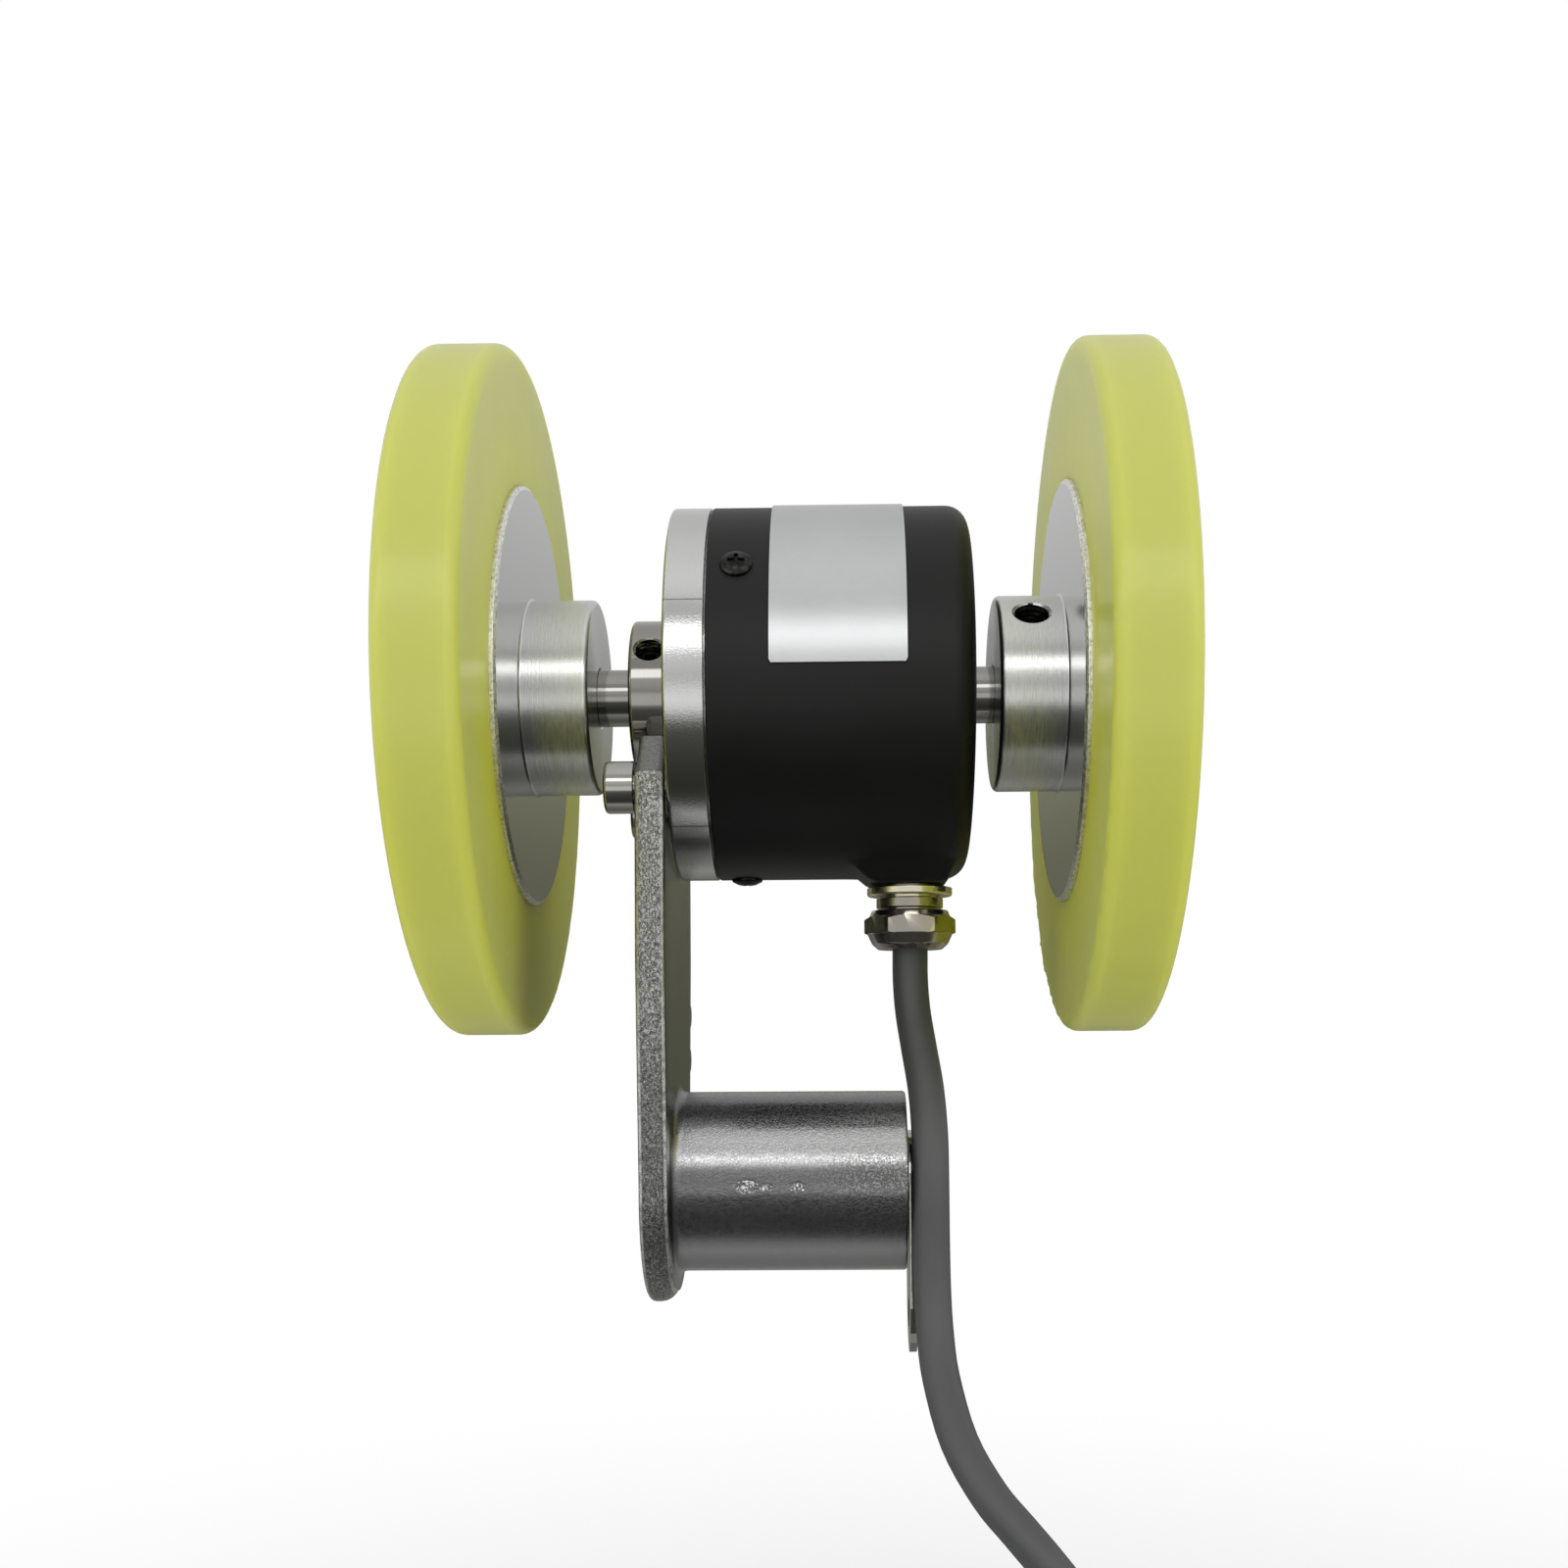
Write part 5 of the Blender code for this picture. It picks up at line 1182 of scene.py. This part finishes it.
def makeFlange(radius, size):
    low, _ = span("encoder_flange")
    bore, rimEnd, spigot, end = size["bore"], size["rimEnd"], size["spigotRadius"], size["spigotEnd"]
    outline = [
        (low.x, bore, 0.3), (low.x, radius, size["edge"]), (rimEnd, radius, 0.15), (rimEnd, spigot, 0),
        (end, spigot, 0), (end, bore, 0),
    ]
    flange = makeTurned("encoderFlange", outline, "turned_aluminium", 256, centre=shaftCentre)
    settle(flange, "arm", "encoder_flange")


def makeCover(radius, size):
    low, high = span("encoder_cover")
    front, rear = low.x, high.x
    bore, hole, rounding = size["bore"], size["hole"], size["rearRadius"]
    outline = [(rear, hole, 0.3), (rear, 15, 0), (rear, radius, rounding)]
    for i in range(int((rear - rounding - front - 1) / size["ringStep"])):
        outline.append((rear - rounding - 0.3 - i * size["ringStep"], radius, 0))
    wall = rear - size["rearWall"]
    outline += [(front, radius, 0.25), (front, bore, 0.1), (wall, bore, 0.5), (wall, hole, 0)]
    cover = makeTurned("encoderCover", outline, "black_coat", size["sides"], 8, shaftCentre)
    for vertex in cover.data.vertices:  # its wall moves out where the cable's outlet stands on it
        x, y, z = vertex.co / mm
        z -= shaftHeight
        here = math.hypot(y, z)
        if here > bore + 0.9 or (here > 20 and x > rear - 2.5):
            reach = outletReach(x, y, z, size)
            if reach > here - 3:
                new = softEnd(here, reach, size["blend"] * 0.6, 1) if reach > here - 2 else here
                new = here + (new - here) * min(1, max(0, reach - here + 3))
                vertex.co = Vector((x, y * new / here, shaftHeight + z * new / here)) * mm
    settle(cover, "arm", "encoder_cover")


def makeCoverScrews(size):
    crown, rim = size["headHeight"], size["headRadius"]
    outline = [(crown, 0, 0), (crown - 0.2, 1.2, 0.8), (0.3, rim, 0.3), (-0.2, rim, 0.1), (-0.2, 0, 0)]
    screw = makeTurned("coverScrew", outline, "black_steel", 64, upright=True)
    half, thin, deep = size["cross"]
    bars = [
        makeBlock("cross", (-long, -wide, crown - deep), (long, wide, crown + 1))
        for long, wide in ((half, thin), (thin, half))
    ]
    places = [(onShaft(size["x"], size["seat"], angle), standOut(angle)) for angle in size["angles"]]
    screws = makeCopies("coverScrews", carve(screw, *bars), places)
    settle(screws, "arm", *("cover_screw_%d" % number for number in (1, 2, 3)))


def edgeOf(rows):
    # the border of a grid of points, in order round it
    left, right = [row[0] for row in rows[-2:0:-1]], [row[-1] for row in rows[1:-1]]
    return rows[0] + right + rows[-1][::-1] + left


def makeLabel(size):
    # a bent sheet of foil with rounded corners
    (left, right), (start, end) = size["x"], size["angles"]
    columns, rows, corner = size["columns"], size["rows"], size["corner"]
    shape = bmesh.new()
    skins = []
    for radius in size["radii"]:
        skin = []
        for row in range(rows + 1):
            cut = 0.0
            away = min(row, rows - row) * (end - start) / rows * degree * radius
            if away < corner:
                cut = corner - math.sqrt(corner**2 - (corner - away) ** 2)
            places = [left + cut + (right - left - 2 * cut) * i / columns for i in range(columns + 1)]
            angle = start + (end - start) * row / rows
            skin.append([shape.verts.new(Vector(onShaft(x, radius, angle)) * mm) for x in places])
        skins.append(skin)
        bridge(shape, skin, False)
    bridge(shape, [edgeOf(skin) for skin in skins])
    label = plainMesh(newMesh("blankLabel", shape, "silver_foil"))
    settle(label, "arm", "rating_label")


makeFlange(encoder["radius"], encoder["flange"])
makeCover(encoder["radius"], encoder["cover"])
makeCoverScrews(encoder["screws"])
makeLabel(encoder["label"])
print("encoder made")


# Arm: a cast plate with its barrel

arm = {
    "plate": (-37.1, -33.1),
    "topZ": 60.7,
    "halfWidth": 19.75,
    "chamfer": 5.6,
    "notch": 11.75,
    "taperZ": 31.0,
    "endRadius": 16.7,
    "lobes": (23.4, 16.7),
    "lobeRadius": 2.3,
    "lobeEdge": 0.9,
    "barrelRadius": 12.5,
    "barrelRight": -1.3,
    "root": 1.5,
    "bore": ((-28.9, 9.5), (-34.15, 8.25), (-39.1, 11.0)),  # its steps: how far left, and how wide
    "edge": 1.0,
    "footEdge": 2.4,
    "screwY": 14.85,
    "screwZ": 53.65,
    "screwHole": 2.25,
    "screwRadius": 1.8,
    "headRadius": 3.5,
    "headHeight": 4.0,
    "keyRadius": 1.7,
    "headGap": 0.3,
}


def arcPoints(radius, start, end, steps, centre=(0, 0)):
    turns = [start + (end - start) * i / steps for i in range(steps + 1)]
    x, y = centre
    return [Vector((x + radius * math.cos(turn), y + radius * math.sin(turn))) for turn in turns]


def armOutline(size):
    half, top, taper, notch = size["halfWidth"], size["topZ"], size["taperZ"], size["notch"]
    drop = shaftHeight - top
    gap = math.sqrt(notch**2 - drop**2)
    slant = math.atan2(-drop, gap)
    lean = math.atan2(half - size["endRadius"], taper)
    below, inside = top - size["chamfer"], half - size["chamfer"]
    line = [Vector(point) for point in ((gap, top), (inside, top), (half, below), (half, taper))]
    line += arcPoints(size["endRadius"], lean / 2, -math.pi - lean / 2, 48)
    line += [Vector(point) for point in ((-half, taper), (-half, below), (-inside, top), (-gap, top))]
    return line + arcPoints(notch, -math.pi - slant, slant, 32, (0, shaftHeight))[1:-1]


def flatPlate(name, outline, low, high, edgeAt, finish, steps=5):
    # a plate whose edges are rounded by edgeAt(z) on its low and high sides
    inward = []
    area = sum(one.x * two.y - one.y * two.x for one, two in zip(outline, outline[1:] + outline[:1]))
    side = 1 if area > 0 else -1
    for before, here, after in zip(outline[-1:] + outline[:-1], outline, outline[1:] + outline[:1]):
        one, two = (here - before).normalized(), (after - here).normalized()
        middle = Vector((-one.y - two.y, one.x + two.x)).normalized() * side
        inward.append(middle * min(1.45, 1 / max(0.1, middle.dot(Vector((-one.y, one.x)) * side))))
    shape = bmesh.new()
    rings = []
    for onHigh in (False, True):
        for share in (i / steps for i in range(steps + 1)):
            turn = (share if onHigh else 1 - share) * math.pi / 2
            ring = []
            for here, move in zip(outline, inward):
                edge = edgeAt(here.y)[onHigh]
                deep = edge * (1 - math.sin(turn))
                spot = here + move * edge * (1 - math.cos(turn))
                x = high - deep if onHigh else low + deep
                ring.append(shape.verts.new(Vector((x, spot.x, spot.y)) * mm))
            rings.append(ring)
    bridge(shape, rings)
    caps = [shape.faces.new(rings[0]), shape.faces.new(rings[-1])]
    bmesh.ops.triangulate(shape, faces=caps)
    return plainMesh(newMesh(name, shape, finish))


def makeArm(size):
    back, face = size["plate"]

    def edgeAt(z):
        share = min(1, max(0, -z / 10))  # rounder at the foot
        return size["edge"], size["edge"] + (size["footEdge"] - size["edge"]) * share

    plate = flatPlate("armCasting", armOutline(size), back, face, edgeAt, "cast_metal")
    radius, right = size["barrelRadius"], size["barrelRight"]
    root = radius + size["root"] + 1.2
    outline = [(right, 0, 0), (right, radius, 0.4), (face, radius, 1.3), (face, root, 0)]
    adds = [makeTurned("barrel", outline + [(face - 1.2, root, 0), (face - 1.2, 0, 0)], None, 128)]
    for z in size["lobes"]:
        y = size["endRadius"] + (size["halfWidth"] - size["endRadius"]) * z / size["taperZ"]
        outline = rod(face - 0.05, back + 0.05, size["lobeRadius"], size["lobeEdge"])
        adds.append(makeTurned("lobe", outline, None, 40, centre=(0, y, z)))
    outline, start = [(right + 2, 0, 0)], right + 2
    for end, radius in size["bore"]:
        outline += [(start, radius, 0), (end, radius, 0)]
        start = end
    cuts = [makeTurned("bore", outline + [(start, 0, 0)], None, 96)]
    for y in (-size["screwY"], size["screwY"]):
        outline = rod(face + 2, back - 2, size["screwHole"])
        cuts.append(makeTurned("hole", outline, None, 32, centre=(0, y, size["screwZ"])))
    piece = carve(carve(plate, *adds, operation="UNION"), *cuts)
    settle(piece, "arm", "arm_casting")


def makeArmScrews(size):
    head, height, thin = size["headRadius"], size["headHeight"], size["screwRadius"]
    outline = [(6, 0, 0), (6, thin, 0.3), (0, thin, 0), (0, head, 0.15)]
    outline += [(-height, head, 0.5), (-height, 0, 0)]
    screw = makeTurned("armScrew", outline, "ground_steel", 72)
    key = makeTurned("armKey", rod(-height / 2, -height - 2, size["keyRadius"]), None, 6, 1)
    back = size["plate"][0] - size["headGap"]
    places = [((back, y, size["screwZ"]), (0, 0, 0)) for y in (-size["screwY"], size["screwY"])]
    screws = makeCopies("armScrews", carve(screw, key), places)
    settle(screws, "arm", "arm_screw_1", "arm_screw_2")


makeArm(arm)
makeArmScrews(arm)
print("arm made")


# Light: soft lamps, a white background, and cards that only reflections show

light = {
    "background": 1.0,
    "ambient": 0.47,
    "lamps": (
        # place, aim, size, watts
        ((-0.1, -0.35, 1.1), (-0.01, 0, 0.06), 0.9, 3.0),
        ((0.1, -1.1, 0.35), (-0.01, 0, 0.04), 0.9, 0.7),
        ((0.0, 1.0, 0.9), (0, 0, 0.05), 0.8, 2.5),
        ((-1.05, -0.6, 0.35), (0.03, 0, 0.05), 0.8, 5.0),
        ((1.05, -0.6, 0.3), (-0.06, 0, 0.05), 0.8, 5.6),
    ),
    "tints": {"back": (1.0, 1.02, 0.72), "ground": (1.0, 1.0, 0.93)},
    "floorSize": 9.0,
    "nearFloor": (0.04, 0.3),
    "cards": {
        # the axis across the card, its place on it, half width, and (place along it, level)
        "front": (1, -0.9, 1.6, (
            (-0.0914, 1.03), (-0.02, 0.95), (0.06, 0.62), (0.2, 0.78), (0.36, 0.9), (0.41, 2.7),
            (0.61, 2.7), (0.68, 0.63), (1.1, 0.66), (1.12, 0.3), (1.14, 0.66), (1.15, 0.8),
        )),
        "top": (2, 1.15, 1.6, (
            (-0.9, 0.95), (-0.745, 0.93), (-0.73, 0.2), (-0.715, 0.93), (-0.3, 0.9), (0.0, 0.84),
            (0.35, 0.74), (0.9, 0.66),
        )),
        "back": (1, 0.9, 1.6, (
            (-0.0914, 0.1), (0.08, 0.14), (0.14, 0.165), (0.2, 0.24), (0.27, 0.47), (0.4, 0.66),
            (1.15, 0.68),
        )),
        "ground": (2, -0.0914, 1.6, (
            (-0.9, 1.03), (-0.44, 1.0), (-0.38, 0.42), (-0.3, 0.17), (-0.15, 0.09), (-0.085, 0.06),
            (-0.05, 0.1), (-0.03, 0.48), (-0.004, 0.4), (0.03, 0.24), (0.08, 0.18), (0.15, 0.28),
            (0.2, 0.36), (0.3, 0.24), (0.9, 0.16),
        )),
    },
}


def makeCard(name, across, at, half, stops, tint):
    # only reflections show it: its brightness runs along one axis, and its dim parts take the tint
    low, high = stops[0][0], stops[-1][0]
    material = bpy.data.materials.new(name)
    sheet = openSheet(material)
    share = (sheet.parts(sheet.place())[3 - across] - low) / (high - low)
    ramp = sheet.add("ShaderNodeValToRGB", {"Fac": share}, give=None)
    top, marks = max(level for _, level in stops), ramp.color_ramp.elements
    while len(marks) < len(stops):
        marks.new(0.5)
    for mark, (place, level) in zip(marks, stops):
        mark.position = (place - low) / (high - low)
        mark.color = (*[level / top * (1 - (1 - c) * (level < 0.4)) for c in tint], 1)
    glow = {"Color": Wire(sheet, ramp.outputs[0]), "Strength": top}
    sheet.close(sheet.add("ShaderNodeEmission", glow))
    corners = [(-half, low), (half, low), (half, high), (-half, high)]
    corners = [(x, at, t) if across == 1 else (x, t, at) for x, t in corners]
    card = pointObject(name, corners, faces=[(0, 1, 2, 3)])
    card.data.materials.append(material)
    for ray in ("camera", "diffuse", "shadow", "transmission", "volume_scatter"):
        setattr(card, "visible_" + ray, False)


def seenRays(sheet):
    # 1 for what the camera, a mirror or glass shows, 0 for the light that falls on things
    path = sheet.add("ShaderNodeLightPath", give=None)
    rays = ("Is Camera Ray", "Is Glossy Ray", "Is Transmission Ray")
    camera, glossy, through = (Wire(sheet, path.outputs[ray]) for ray in rays)
    return camera.calc("MAXIMUM", camera, camera.calc("MAXIMUM", glossy, through))


def makeFloor(size):
    ground = (cadBox[0][2] - 0.0006) / mm
    half = size["floorSize"] / 2 / mm
    floor = makeBlock("floor", (-half, -half, ground - 10), (half, half, ground))
    material = bpy.data.materials.new("floor")
    sheet = openSheet(material)
    x, y, _ = sheet.parts(sheet.place())
    away = ((x * x + y * y) ** 0.5).step(*size["nearFloor"])  # white far off, shadows near the part
    matt = sheet.add("ShaderNodeBsdfDiffuse", {"Color": (0.9, 0.9, 0.9)})
    white = sheet.add("ShaderNodeEmission", {"Color": (1, 1, 1), "Strength": 1.0})
    share = seenRays(sheet) * (0.4 + away * 0.6)
    sheet.close(sheet.add("ShaderNodeMixShader", {0: share, 1: matt, 2: white}))
    floor.data.materials.append(material)


def makeLight(size):
    world = bpy.data.worlds.new("studio")
    scene.world = world
    sheet = openSheet(world)
    level = size["ambient"] + seenRays(sheet) * (size["background"] - size["ambient"])
    sheet.close(sheet.add("ShaderNodeBackground", {"Color": (1, 1, 1), "Strength": level}), "World")
    for number, (place, aim, width, watts) in enumerate(size["lamps"], 1):
        data = bpy.data.lights.new("softLamp%d" % number, "AREA")
        data.shape, data.size, data.energy = "SQUARE", width, watts
        lamp = newObject(data.name, data)
        lamp.location = place
        lamp.rotation_euler = (Vector(place) - Vector(aim)).to_track_quat("Z", "Y").to_euler()
        lamp.visible_glossy = False
        lamp.visible_camera = False
    for name, (across, at, half, stops) in size["cards"].items():
        makeCard(name + "Card", across, at, half, stops, size["tints"].get(name, (1, 1, 1)))


makeFloor(light)
makeLight(light)
print("light set")

bpy.context.view_layer.update()
